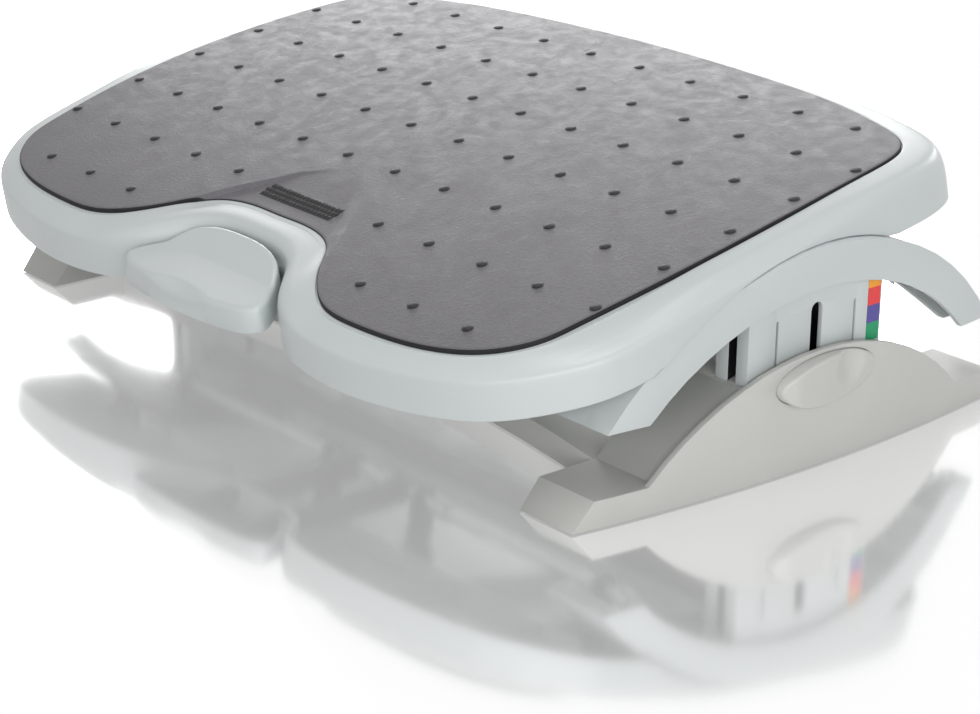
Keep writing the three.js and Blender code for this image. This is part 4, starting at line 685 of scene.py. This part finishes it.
def polar(outline, centre, shares, z_at):
    """Rings from a centre to an outline, with a fan in the middle."""
    verts = [(centre.x, centre.y, z_at(centre.x, centre.y))]
    for share in shares:
        for p in outline:
            q = centre.lerp(p, share)
            verts.append((q.x, q.y, z_at(q.x, q.y)))
    n = len(outline)
    return verts, fan(n) + tube_faces(len(shares), n, 1)


PAD_CENTRE = Vector((0, 25))
PAD_LIP, PAD_LIP_WALL = 4.4, 2.0
PAD_TOP_INSET = 2.4
PAD_RINGS = 84
PAD_UNDER_RING_SHARES = (0.25, 0.5, 0.75, 1)

# The pad's edge: how far each ring lies inside the outline and below the surface
PAD_EDGE = (
    (1.6, 0.0), (1.0, 0.06), (0.5, 0.24), (0.16, 0.62), (0.0, 1.2),
    (0.0, PAD_LIP), (PAD_LIP_WALL, PAD_LIP), (PAD_LIP_WALL, PAD_THICKNESS),
)
PAD_GREY_EDGE_ROWS = 3


def pad_top():
    """The pad's vertices and faces, and each face's material: 0 is its grey upper side, 1 its dark edge."""
    inner = drawn_in(pad_outline, PAD_TOP_INSET)
    shares = [i / PAD_RINGS for i in range(1, PAD_RINGS + 1)]
    verts, faces = polar(inner, PAD_CENTRE, shares, lambda x, y: crown(y) - hollow(x, y))
    kinds = [0] * len(faces)
    last = len(verts) - OUTLINE_COUNT
    for inset, drop in PAD_EDGE:
        for p in drawn_in(pad_outline, inset):
            sunk = min(drop + hollow(p.x, p.y), max(drop, PAD_THICKNESS))
            verts.append((p.x, p.y, crown(p.y) - sunk))
    edge = tube_faces(1 + len(PAD_EDGE), OUTLINE_COUNT, last)
    faces += edge
    kinds += [0 if r < PAD_GREY_EDGE_ROWS * OUTLINE_COUNT else 1 for r in range(len(edge))]
    bottom_start = len(verts)
    under = drawn_in(pad_outline, PAD_LIP_WALL)
    below, below_faces = polar(
        under, PAD_CENTRE, PAD_UNDER_RING_SHARES, lambda x, y: crown(y) - PAD_THICKNESS
    )
    verts += below
    faces += [tuple(bottom_start + v for v in f) for f in below_faces]
    kinds += [1] * len(below_faces)
    return verts, faces, kinds


TRAY_UPPER_SIDE, TRAY_UNDERSIDE = 2.8, 5.8
FLOOR_RINGS = 12
FLOOR_IN_RIM_SHARE = 0.12


def tray_floor():
    """The tray's floor under the pad, from its upper face to its underside."""
    outline = [p.lerp(rim_outline[i], FLOOR_IN_RIM_SHARE) for i, p in enumerate(pad_outline)]
    shares = [k / FLOOR_RINGS for k in range(1, FLOOR_RINGS + 1)]
    top, top_faces = polar(outline, PAD_CENTRE, shares, lambda x, y: crown(y) - TRAY_UPPER_SIDE)
    low, low_faces = polar(outline, PAD_CENTRE, shares, lambda x, y: crown(y) - TRAY_UNDERSIDE)
    shift = len(top)
    faces = list(top_faces) + [tuple(shift + v for v in f) for f in low_faces]
    a, b = shift - OUTLINE_COUNT, 2 * shift - OUTLINE_COUNT
    for i in range(OUTLINE_COUNT):
        j = (i + 1) % OUTLINE_COUNT
        faces.append((a + i, a + j, b + j, b + i))
    return top + low, faces


rim_verts, rim_faces = rim()
rim_piece = piece("platform_rim", "platform", rim_verts, rim_faces, [deck_plastic], to_deck, smooth_angle=60)
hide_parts("tray")

floor_verts, floor_faces = tray_floor()
floor_piece = piece("platform_floor", "platform", floor_verts, floor_faces, [deck_plastic], to_deck)

pad_verts, pad_faces, pad_kinds = pad_top()
pad_piece = piece(
    "pad_surface", "platform", pad_verts, pad_faces, [pad_rubber, edge_rubber], to_deck, pad_kinds,
    smooth_angle=50,
)
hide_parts("pad")

# Tray ribs, which follow the crown under the floor
RIB_WALL = 2.5
RIB_DEPTH = 12
RIB_X_SHARES = (-0.72, -0.44, 0.44, 0.72)
RIB_Y_SHARES = (-0.42, 0.28, 0.62)
RIB_END_GAP = 2
RIB_STEPS = 24
RIB_ROUND = 0.5
RIB_FLAT_SHARE = 0.6
RIB_IN_FLOOR = 0.2
ROCKER_REACH, ROCKER_ZONE_X = 80, 215
NEAR = 6


def half_width_at(y):
    """The half width of the pad's outline at a distance behind the middle."""
    return max(p.x for p in pad_outline if abs(p.y - y) < NEAR)


def reach_at(x):
    """How far the pad's outline goes to the front and to the rear at a distance from the middle."""
    ys = [p.y for p in pad_outline if abs(p.x - x) < NEAR]
    return min(ys), max(ys)


def rib_strip(start, end, across):
    """A rib under the tray's floor between two points, with its lower edge rounded."""
    side_end = RIB_DEPTH - RIB_ROUND
    section = (
        (-1, 0), (-1, side_end), (-RIB_FLAT_SHARE, RIB_DEPTH),
        (RIB_FLAT_SHARE, RIB_DEPTH), (1, side_end), (1, 0),
    )
    verts = []
    for i in range(RIB_STEPS + 1):
        p = start.lerp(end, i / RIB_STEPS)
        for side, depth in section:
            q = p + across * side * RIB_WALL / 2
            verts.append((q.x, q.y, crown(q.y) - TRAY_UNDERSIDE + RIB_IN_FLOOR - depth))
    return verts, capped_tube(RIB_STEPS + 1, len(section))


def joined(shapes):
    """One list of vertices and one of faces from several shapes."""
    verts, faces = [], []
    for shape_verts, shape_faces in shapes:
        faces += [tuple(len(verts) + v for v in f) for f in shape_faces]
        verts += shape_verts
    return verts, faces


ribs = []
for share in RIB_X_SHARES:
    x = share * PAD_HALF_WIDTH
    low, high = reach_at(x)
    ribs.append(rib_strip(Vector((x, low + RIB_END_GAP)), Vector((x, high - RIB_END_GAP)), Vector((1, 0))))
for share in RIB_Y_SHARES:
    y = share * PAD_BACK
    half = half_width_at(y) - RIB_END_GAP if abs(y) > ROCKER_REACH else ROCKER_ZONE_X
    ribs.append(rib_strip(Vector((-half, y)), Vector((half, y)), Vector((0, 1))))
rib_verts, rib_faces = joined(ribs)
rib_piece = piece("platform_ribs", "platform", rib_verts, rib_faces, [deck_plastic], to_deck)

# Nubs: low rubber domes in rows
NUB_PITCH_X = 44
NUB_PITCH_Y = 47.8
NUB_PROFILE = (
    (3.3, 0.25), (3.3, -0.05), (3.2, -0.3),
    (3.0, 0.12), (2.6, 0.48), (2.0, 0.72), (1.2, 0.86), (0.5, 0.9),
)
NUB_SIDES = 24

# Each row: its place in pitches behind the middle, how many columns each half has, and how many are left out
NUB_ROWS = ((3, 5, 0), (2, 6, 0), (1, 6, 0), (0, 6, 0), (-1, 6, 0), (-2, 6, 1), (-3, 5, 2))


def nub(x, y):
    """One nub on the pad's surface."""
    base = crown(y) - hollow(x, y)
    verts = []
    for radius, height in NUB_PROFILE:
        for k in range(NUB_SIDES):
            a = 2 * math.pi * k / NUB_SIDES
            verts.append((x + radius * math.cos(a), y + radius * math.sin(a), base + height))
    return verts, capped_tube(len(NUB_PROFILE), NUB_SIDES)


nub_verts, nub_faces = joined(
    nub(side * (column + 0.5) * NUB_PITCH_X, row * NUB_PITCH_Y)
    for row, columns, skip in NUB_ROWS
    for column in range(skip, columns)
    for side in (-1, 1)
)
nub_piece = piece("pad_nubs", "platform", nub_verts, nub_faces, [nub_rubber], to_deck, smooth_angle=50)

# Grip strip: a dark inset with three rows of small raised pips
STRIP_HALF_LENGTH = 33
STRIP_HALF_WIDTH = 6.5
STRIP_Y = -99.5
STRIP_STEPS_ALONG, STRIP_STEPS_ACROSS = 150, 32
STRIP_RISE, STRIP_SUNK, STRIP_ROUND, STRIP_BELOW = 0.25, 0.05, 0.7, 0.4
PIP_PITCH, PIP_ROW_PITCH = 3.3, 4
PIP_REACH_X, PIP_REACH_Y = 1.25, 1.5
PIP_HEIGHT = 0.75
PIP_EDGE_SHARE, PIP_SLOPE_SHARE = 1.05, 0.55


def pip_height(x, y):
    """How far the pips stand up at a point: three rows, the outer two set half a pitch aside."""
    row = round((y - STRIP_Y) / PIP_ROW_PITCH)
    if abs(row) > 1:
        return 0
    along = x / PIP_PITCH + (0.5 if row else 0)
    along = (along - round(along)) * PIP_PITCH
    across = (y - STRIP_Y) - row * PIP_ROW_PITCH
    away = math.sqrt((along / PIP_REACH_X) ** 2 + (across / PIP_REACH_Y) ** 2)
    return PIP_HEIGHT * smoothstep((PIP_EDGE_SHARE - away) / PIP_SLOPE_SHARE)


def grid_sheet(x0, x1, y0, y1, nx, ny, z_at, bottom):
    """A rectangular slab with a shaped upper face."""
    verts, faces = [], []
    for j in range(ny + 1):
        for i in range(nx + 1):
            x = x0 + (x1 - x0) * i / nx
            y = y0 + (y1 - y0) * j / ny
            verts.append((x, y, z_at(x, y)))
    for j in range(ny):
        for i in range(nx):
            a = j * (nx + 1) + i
            faces.append((a, a + 1, a + nx + 2, a + nx + 1))
    ring = list(range(nx + 1))
    ring += [(j * (nx + 1)) + nx for j in range(1, ny + 1)]
    ring += [ny * (nx + 1) + i for i in range(nx - 1, -1, -1)]
    ring += [j * (nx + 1) for j in range(ny - 1, 0, -1)]
    start = len(verts)
    for v in ring:
        x, y, _ = verts[v]
        verts.append((x, y, bottom(x, y)))
    n = len(ring)
    for i in range(n):
        j = (i + 1) % n
        faces.append((ring[i], ring[j], start + j, start + i))
    faces.append(tuple(start + i for i in range(n)))
    return verts, faces


def strip_top(x, y):
    edge = min(STRIP_HALF_LENGTH - abs(x), STRIP_HALF_WIDTH - abs(y - STRIP_Y))
    rise = STRIP_RISE * smoothstep(edge / STRIP_ROUND) - STRIP_SUNK
    return crown(y) - hollow(x, y) + rise + pip_height(x, y)


strip_verts, strip_faces = grid_sheet(
    -STRIP_HALF_LENGTH, STRIP_HALF_LENGTH, STRIP_Y - STRIP_HALF_WIDTH, STRIP_Y + STRIP_HALF_WIDTH,
    STRIP_STEPS_ALONG, STRIP_STEPS_ACROSS, strip_top, lambda x, y: crown(y) - hollow(x, y) - STRIP_BELOW,
)
strip_piece = piece(
    "grip_pips", "platform", strip_verts, strip_faces, [strip_rubber], to_deck, smooth_angle=60
)
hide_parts("grip_strip")

# Pedal cap
PEDAL_HALF_WIDTH = 65
PEDAL_BACK_Y = -140.7
PEDAL_FRONT_Y = -194
PEDAL_BOTTOM = -33
PEDAL_OUTLINE_SHARES = [
    (0, 1), (0.262, 0.989), (0.469, 0.942), (0.631, 0.857), (0.754, 0.704), (0.854, 0.553), (0.954, 0.4),
    (1.0, 0.25), (0.89, 0.11), (0.5, 0.025), (0, 0),
]
PEDAL_SIDE = ((-130, -2.0), (-140.7, -7.0), (-159.2, -16.6), (-160.4, -17.15), (-162, -17.5), (-167, -17.8),
              (-178, -18.5), (-191, -19.5), (-200, -20.4))
PEDAL_COUNT, PEDAL_PASSES = 160, 4
FACET_BACK_Y, FACET_BOW, FACET_HALF_WIDTH, FACET_SLOPE = -183.7, 6.5, 28, 0.7
PEDAL_ROUND = 3.2
PEDAL_WALL = 3.4
MOUTH_HALF, MOUTH_REACH, MOUTH_TOP = 28.3, 12, -23.7
PEDAL_CENTRE = Vector((0, -165))
PEDAL_RINGS, PEDAL_ROUND_STEPS = 40, 6
PEDAL_DRAFT, PEDAL_DRAFT_START, PEDAL_DRAFT_REACH = 2.4, 20, 30

# The lower edge of the pedal's wall: insets from its foot and heights over its bottom
PEDAL_HEM = ((0, 0.6), (0.5, 0), (2.4, 0))
PEDAL_SKIRT_WALL = 3.2


def pedal_height(x, y):
    """The pedal's upper surface: a raised back, a flat tread and a thumb facet at the middle of its front."""
    height = PEDAL_SIDE[-1][1]
    for (y0, z0), (y1, z1) in zip(PEDAL_SIDE, PEDAL_SIDE[1:]):
        if y0 >= y >= y1:
            height = z0 + (z1 - z0) * (y0 - y) / (y0 - y1)
    into = FACET_BACK_Y - FACET_BOW * (x / FACET_HALF_WIDTH) ** 2 - y
    return height - FACET_SLOPE * max(into, 0)


def pedal_cap():
    """The pedal's hollow cap: its top, rounded edge, drafted wall and the underside of its top."""
    length = PEDAL_BACK_Y - PEDAL_FRONT_Y
    half = [(x * PEDAL_HALF_WIDTH, PEDAL_FRONT_Y + y * length) for x, y in PEDAL_OUTLINE_SHARES]
    foot = softened(mirrored(half, PEDAL_COUNT), PEDAL_PASSES)

    def draft(p):
        return PEDAL_DRAFT * smoothstep((PEDAL_BACK_Y - PEDAL_DRAFT_START - p.y) / PEDAL_DRAFT_REACH)

    head = [p.copy() for p in foot]
    for p, q in zip(head, drawn_in(foot, 1)):
        way = q - p
        p += way * draft(p)
    rows = []

    def bottom_at(p):
        at_mouth = abs(p.x) < MOUTH_HALF and p.y > PEDAL_BACK_Y - MOUTH_REACH
        return MOUTH_TOP if at_mouth else PEDAL_BOTTOM

    inner = drawn_in(head, PEDAL_ROUND)
    for k in range(1, PEDAL_RINGS + 1):
        ring = [PEDAL_CENTRE.lerp(p, k / PEDAL_RINGS) for p in inner]
        rows.append([(q.x, q.y, pedal_height(q.x, q.y)) for q in ring])
    for k in range(1, PEDAL_ROUND_STEPS + 1):
        a = math.pi / 2 * k / PEDAL_ROUND_STEPS
        ring = drawn_in(head, PEDAL_ROUND * (1 - math.sin(a)))
        rows.append([(q.x, q.y, pedal_height(q.x, q.y) - PEDAL_ROUND * (1 - math.cos(a))) for q in ring])
    for inset, rise in PEDAL_HEM:
        rows.append([(p.x, p.y, bottom_at(p) + rise) for p in (drawn_in(foot, inset) if inset else foot)])
    rows.append([(p.x, p.y, pedal_height(p.x, p.y) - PEDAL_WALL) for p in drawn_in(foot, PEDAL_SKIRT_WALL)])
    middle_height = pedal_height(PEDAL_CENTRE.x, PEDAL_CENTRE.y)
    verts = [(PEDAL_CENTRE.x, PEDAL_CENTRE.y, middle_height)]
    for row in rows:
        verts += row
    faces = fan(PEDAL_COUNT) + tube_faces(len(rows), PEDAL_COUNT, 1)
    roof = len(verts)
    verts.append((PEDAL_CENTRE.x, PEDAL_CENTRE.y, middle_height - PEDAL_WALL))
    last = 1 + (len(rows) - 1) * PEDAL_COUNT
    faces += [(last + (i + 1) % PEDAL_COUNT, last + i, roof) for i in range(PEDAL_COUNT)]
    return verts, faces


pedal_verts, pedal_faces = pedal_cap()
pedal_piece = piece(
    "pedal_cap", "pedal_unit", pedal_verts, pedal_faces, [deck_plastic], to_deck, smooth_angle=55
)
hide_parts("pedal")

# Side buttons
HALF_WIDTH = 277.5
BUTTON_Y, BUTTON_Z = 2, 50
BUTTON_HALF_LENGTH, BUTTON_HALF_HEIGHT = 37, 13.5
BUTTON_INNER_X = 275
BUTTON_PROUD_FRONT, BUTTON_PROUD_REAR = 8, 1.2
BUTTON_FRONT_SLOPE = 0.5
BUTTON_CREST_BLEND = 1.5
DISH_RADIUS, DISH_DEPTH, DISH_BLEND = 24, 3.6, 0.9
DISH_REACH_SHARE = 0.9
DISH_Y, DISH_Z = 19, 55.5
BUTTON_COUNT = 72
BUTTON_RINGS, BUTTON_ROUND_STEPS = 22, 5
BUTTON_ROUND = 1.6
BUTTON_EDGE_LEAST = 0.5


def blend_low(a, b, k):
    """The lower of two heights, with a soft join."""
    h = max(k - abs(a - b), 0) / k
    return min(a, b) - h * h * k / 4


def button_face(y, z):
    """The button's outer surface: it rises from its front, falls to its rear and has a finger dish."""
    front = BUTTON_Y - BUTTON_HALF_LENGTH
    rise = HALF_WIDTH + BUTTON_PROUD_FRONT / 2 + (y - front) * BUTTON_FRONT_SLOPE
    top = HALF_WIDTH + BUTTON_PROUD_FRONT
    start = BUTTON_Y - BUTTON_HALF_HEIGHT
    back = BUTTON_Y + BUTTON_HALF_LENGTH
    fall = top - (top - HALF_WIDTH - BUTTON_PROUD_REAR) * (y - start) / (back - start)
    height = blend_low(blend_low(rise, top, BUTTON_CREST_BLEND), fall, BUTTON_CREST_BLEND)
    reach = min((y - DISH_Y) ** 2 + (z - DISH_Z) ** 2, DISH_REACH_SHARE * DISH_RADIUS**2)
    bottom = HALF_WIDTH + BUTTON_PROUD_FRONT / 2 - DISH_DEPTH
    dish = bottom + DISH_RADIUS - math.sqrt(DISH_RADIUS**2 - reach)
    return blend_low(height, dish, DISH_BLEND)


def button_cap(side):
    """The button's oval cap with a rounded edge."""
    angles = [2 * math.pi * k / BUTTON_COUNT for k in range(BUTTON_COUNT)]

    def oval(inset, share=1):
        half_y = (BUTTON_HALF_LENGTH - inset) * share
        half_z = (BUTTON_HALF_HEIGHT - inset) * share
        return [(BUTTON_Y + half_y * math.cos(a), BUTTON_Z + half_z * math.sin(a)) for a in angles]

    rows = []
    for k in range(1, BUTTON_RINGS + 1):
        rows.append([(y, z, 0) for y, z in oval(BUTTON_ROUND, k / BUTTON_RINGS)])
    for k in range(1, BUTTON_ROUND_STEPS + 1):
        a = math.pi / 2 * k / BUTTON_ROUND_STEPS
        drop = BUTTON_ROUND * (1 - math.cos(a))
        rows.append([(y, z, drop) for y, z in oval(BUTTON_ROUND * (1 - math.sin(a)))])
    verts = [(side * button_face(BUTTON_Y, BUTTON_Z), BUTTON_Y, BUTTON_Z)]
    for row in rows:
        for y, z, drop in row:
            x = max(button_face(y, z) - drop, BUTTON_INNER_X + BUTTON_EDGE_LEAST)
            verts.append((side * x, y, z))
    verts += [(side * BUTTON_INNER_X, y, z) for y, z in oval(0)]
    faces = fan(BUTTON_COUNT) + tube_faces(len(rows) + 1, BUTTON_COUNT, 1)
    last = 1 + len(rows) * BUTTON_COUNT
    faces.append(tuple(last + i for i in range(BUTTON_COUNT)))
    return verts, faces


STEM_Y, STEM_RADIUS = -0.5, 3.5
STEM_START_X, STEM_END_X = 247, 275.2
STEM_CHAMFER = 0.4


def rod(x0, x1, radius, y, z, sides=32):
    """A round rod along x with a chamfer at its first end."""
    verts = []
    for x, r in ((x0, radius - STEM_CHAMFER), (x0 + STEM_CHAMFER, radius), (x1, radius)):
        for k in range(sides):
            a = 2 * math.pi * k / sides
            verts.append((x, y + r * math.cos(a), z + r * math.sin(a)))
    return verts, capped_tube(3, sides)


for side_name, sign in SIDES:
    stem_verts, stem_faces = rod(STEM_START_X, STEM_END_X, STEM_RADIUS, STEM_Y, BUTTON_Z)
    stem = [(sign * x, y, z) for x, y, z in stem_verts], stem_faces
    verts, faces = joined((button_cap(sign), stem))
    cap = piece(
        f"button_cap_{side_name}", f"button_unit_{side_name}", verts, faces, [base_plastic], to_base,
        smooth_angle=45,
    )
    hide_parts(f"button_{side_name}")


# Springs: smooth round wire on the same helix as the solids

COIL_STEPS, COIL_SIDES = 28, 10


def coil(name, body, radius, wire, x0, x1, turns, y, z, matrix, sign=1):
    """A helical spring along x, with a round wire and its ends cut square."""
    steps, sides = COIL_STEPS * turns, COIL_SIDES
    verts = []
    for i in range(steps + 1):
        t = i / steps
        a = 2 * math.pi * turns * t
        out = Vector((0, math.sin(a), math.cos(a)))
        centre = Vector((x0 + wire / 2 + (x1 - x0 - wire) * t, y, z)) + out * radius
        for k in range(sides):
            b = 2 * math.pi * k / sides
            q = centre + out * math.cos(b) * wire / 2 + Vector((math.sin(b) * wire / 2, 0, 0))
            verts.append((sign * q.x, q.y, q.z))
    return piece(name, body, verts, capped_tube(steps + 1, sides), [steel], matrix)


def span(node):
    """A node's lowest and highest x, in millimetres."""
    low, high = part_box(node)
    return low.x / MM, high.x / MM


BUTTON_SPRING = {"radius": 6, "wire": 1.2, "turns": 5}
PEDAL_SPRING = {"radius": 5.8, "wire": 1.4, "turns": 6}

for side_name, sign in SIDES:
    node = f"button_spring_{side_name}"
    low, high = span(node)
    inner, outer = sorted((abs(low), abs(high)))
    made = coil(
        f"button_coil_{side_name}", "base", x0=inner, x1=outer, y=STEM_Y, z=BUTTON_Z, matrix=to_base,
        sign=sign, **BUTTON_SPRING,
    )
    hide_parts(node)
    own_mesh(made)

SHAFT_ORBIT, SHAFT_ANGLE = 158, math.radians(20)
SHAFT_Y = PAD_CENTRE_FORWARD - SHAFT_ORBIT * math.sin(SHAFT_ANGLE)
SHAFT_Z = -PAD_HEIGHT_OVER_PIVOT + SHAFT_ORBIT * math.cos(SHAFT_ANGLE)
spring_low, spring_high = span("pedal_spring")
pedal_coil = coil(
    "pedal_coil", "platform", x0=spring_low, x1=spring_high, y=SHAFT_Y, z=SHAFT_Z, matrix=to_deck,
    **PEDAL_SPRING,
)
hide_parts("pedal_spring")


# The rail's tails: in front the flange is as wide as at its middle, and behind a lip follows its slanted edge
ARCH_RADIUS, ARCH_WALL, ARCH_LIP, TAIL_LIP = 181, 3.5, 15, 18
ARCH_CENTRE_Z, ARCH_END_Z = -58, 50
ARCH_INNER_X, TAIL_INNER_X, TAIL_OVERLAP = 222, 250.3, 1.5
TAIL_START_REACH = 107
TAIL_STEPS = 20
SLANTED_WALL = 4.4
TAIL_END_QUADS = ((0, 1, 2, 3), (0, 3, 4, 5))
APRON_INSET = 0.1
APRON_TOP = ARCH_RADIUS - APRON_INSET
APRON_UNDER = ARCH_RADIUS - ARCH_WALL + APRON_INSET


def front_corner(t):
    """The section of the plate that fills the flange's front corner, with the lip along its inner edge."""
    foot = ARCH_RADIUS - ARCH_LIP + APRON_INSET
    inner_x, lip_x = ARCH_INNER_X + APRON_INSET, ARCH_INNER_X + ARCH_WALL - APRON_INSET
    outer_x = max(lerp(ARCH_INNER_X, TAIL_INNER_X, t) + TAIL_OVERLAP, lip_x + APRON_INSET)
    return (
        (inner_x, APRON_TOP), (outer_x, APRON_TOP), (outer_x, APRON_UNDER),
        (lip_x, APRON_UNDER), (lip_x, foot), (inner_x, foot),
    )


def rear_lip(t):
    """The section of the lip along the slanted edge of the flange's rear tail."""
    inner_x = lerp(ARCH_INNER_X, TAIL_INNER_X, t) + APRON_INSET
    outer_x = inner_x + SLANTED_WALL
    foot = ARCH_RADIUS - lerp(ARCH_LIP, TAIL_LIP, t) + APRON_INSET
    return ((inner_x, APRON_TOP), (outer_x, APRON_TOP), (outer_x, foot), (inner_x, foot))


def tail(side, end_sign, section_at):
    """A piece that follows the rail's arc to one of its ends."""
    start = math.asin(TAIL_START_REACH / ARCH_RADIUS)
    verts = []
    for i in range(TAIL_STEPS + 1):
        t = i / TAIL_STEPS
        section = section_at(t)
        for x, radius in section:
            end = math.acos((ARCH_END_Z - ARCH_CENTRE_Z) / radius)
            a = lerp(start, end, t)
            verts.append((side * x, end_sign * radius * math.sin(a), ARCH_CENTRE_Z + radius * math.cos(a)))
    corners = len(section)
    faces = tube_faces(TAIL_STEPS + 1, corners)
    for first in (0, corners * TAIL_STEPS):
        faces += [tuple(first + k for k in quad) for quad in TAIL_END_QUADS if quad[-1] < corners]
    return verts, faces


for side_name, sign in SIDES:
    for part_name, end_sign, section_at in (("apron", -1, front_corner), ("tail_lip", 1, rear_lip)):
        verts, faces = tail(sign, end_sign, section_at)
        made = piece(f"arch_{part_name}_{side_name}", "carriage", verts, faces, [deck_plastic], to_base)


# Stage, light and camera

FLOOR_BOUNCE = (0.8, 0.8, 0.8, 1)
FLOOR_GLOW_SHARE, FLOOR_GLOSS_SHARE, FLOOR_ROUGHNESS = 0.88, 0.62, 0.1
WHITE = (1, 1, 1, 1)


def floor_material():
    """A white floor that keeps the object's shadow and reflection, and gives a plain grey bounce."""
    material = bpy.data.materials.new("studio_floor")
    material.use_nodes = True
    tree = material.node_tree
    tree.nodes.clear()
    out = add_node(tree, "ShaderNodeOutputMaterial")
    diffuse = add_node(tree, "ShaderNodeBsdfDiffuse", Color=WHITE)
    bounce = add_node(tree, "ShaderNodeBsdfDiffuse", Color=FLOOR_BOUNCE)
    glow = add_node(tree, "ShaderNodeEmission", Color=WHITE, Strength=1.0)
    gloss = add_node(tree, "ShaderNodeBsdfGlossy", Color=WHITE, Roughness=FLOOR_ROUGHNESS)
    lit = add_node(tree, "ShaderNodeMixShader", Fac=FLOOR_GLOW_SHARE)
    polished = add_node(tree, "ShaderNodeMixShader", Fac=FLOOR_GLOSS_SHARE)
    path = add_node(tree, "ShaderNodeLightPath")
    seen = add_node(tree, "ShaderNodeMixShader")
    link = tree.links.new
    link(diffuse.outputs[0], lit.inputs[1])
    link(glow.outputs[0], lit.inputs[2])
    link(lit.outputs[0], polished.inputs[1])
    link(gloss.outputs[0], polished.inputs[2])
    link(path.outputs["Is Diffuse Ray"], seen.inputs["Fac"])
    link(polished.outputs[0], seen.inputs[1])
    link(bounce.outputs[0], seen.inputs[2])
    link(seen.outputs[0], out.inputs["Surface"])
    return material


FLOOR_REACH = 6
floor_corners = [(x * FLOOR_REACH, y * FLOOR_REACH, 0) for x, y in ((-1, -1), (1, -1), (1, 1), (-1, 1))]
floor_mesh = bpy.data.meshes.new("floor")
floor_mesh.from_pydata(floor_corners, [], [(0, 1, 2, 3)])
floor_mesh.materials.append(floor_material())
floor = bpy.data.objects.new("floor", floor_mesh)
bpy.context.scene.collection.objects.link(floor)

SKY_STRENGTH = 0.27

world = bpy.data.worlds.new("studio")
bpy.context.scene.world = world
world.use_nodes = True
sky_nodes = world.node_tree.nodes
sky_link = world.node_tree.links.new
sky = sky_nodes["Background"]
sky.inputs["Color"].default_value = WHITE
sky.inputs["Strength"].default_value = SKY_STRENGTH
seen_sky = add_node(world.node_tree, "ShaderNodeBackground", Color=WHITE, Strength=1.0)
sky_path = add_node(world.node_tree, "ShaderNodeLightPath")
sky_mix = add_node(world.node_tree, "ShaderNodeMixShader")
either = add_node(world.node_tree, "ShaderNodeMath", operation="MAXIMUM")
sky_link(sky_path.outputs["Is Camera Ray"], either.inputs[0])
sky_link(sky_path.outputs["Is Glossy Ray"], either.inputs[1])
sky_link(either.outputs[0], sky_mix.inputs["Fac"])
sky_link(sky.outputs[0], sky_mix.inputs[1])
sky_link(seen_sky.outputs[0], sky_mix.inputs[2])
sky_link(sky_mix.outputs[0], sky_nodes["World Output"].inputs["Surface"])


def lamp(name, place, target, size, power):
    """A soft rectangular lamp that points at a target."""
    light = bpy.data.lights.new(name, "AREA")
    light.shape = "RECTANGLE"
    light.size, light.size_y = size
    light.energy = power
    obj = bpy.data.objects.new(name, light)
    obj.location = place
    obj.rotation_euler = (Vector(target) - Vector(place)).to_track_quat("-Z", "Y").to_euler()
    bpy.context.scene.collection.objects.link(obj)


lamp("key", (0.12, -0.1, 1.95), (0, 0, 0.05), (0.7, 0.7), 9.5)
lamp("fill", (1.3, -1.9, 0.6), (0, 0, 0.08), (1.6, 0.8), 10)
lamp("side", (2.0, -0.9, 0.75), (0, 0, 0.08), (1.4, 0.9), 17)
lamp("rear", (-1.5, 1.2, 0.62), (0, 0, 0.12), (1.3, 0.55), 16.5)
lamp("rear_right", (-0.1, 2.0, 0.85), (0, 0, 0.12), (0.9, 0.5), 8)

CAMERA_PLACE = (1.14036, MIDDLE_Y * MM - 0.967977, 0.53582)
CAMERA_YAW, CAMERA_PITCH, CAMERA_ROLL = (math.radians(a) for a in (49.515, 20.364, 0.74))
SENSOR_WIDTH, LENS = 36, 95.76
CLIP_START, CLIP_END = 0.05, 50
camera_data = bpy.data.cameras.new("camera")
camera_data.sensor_fit = "HORIZONTAL"
camera_data.sensor_width = SENSOR_WIDTH
camera_data.lens = LENS
camera_data.clip_start, camera_data.clip_end = CLIP_START, CLIP_END
camera = bpy.data.objects.new("camera", camera_data)
bpy.context.scene.collection.objects.link(camera)
bpy.context.scene.camera = camera
ahead = Vector((
    -math.sin(CAMERA_YAW) * math.cos(CAMERA_PITCH),
    math.cos(CAMERA_YAW) * math.cos(CAMERA_PITCH),
    -math.sin(CAMERA_PITCH),
))
level = Vector((math.cos(CAMERA_YAW), math.sin(CAMERA_YAW), 0))
upright = level.cross(ahead)
right = level * math.cos(CAMERA_ROLL) + upright * math.sin(CAMERA_ROLL)
up = upright * math.cos(CAMERA_ROLL) - level * math.sin(CAMERA_ROLL)
turn = Matrix((right, up, -ahead)).transposed()
camera.matrix_world = Matrix.Translation(CAMERA_PLACE) @ turn.to_4x4()

bpy.context.scene.view_settings.view_transform = "Standard"
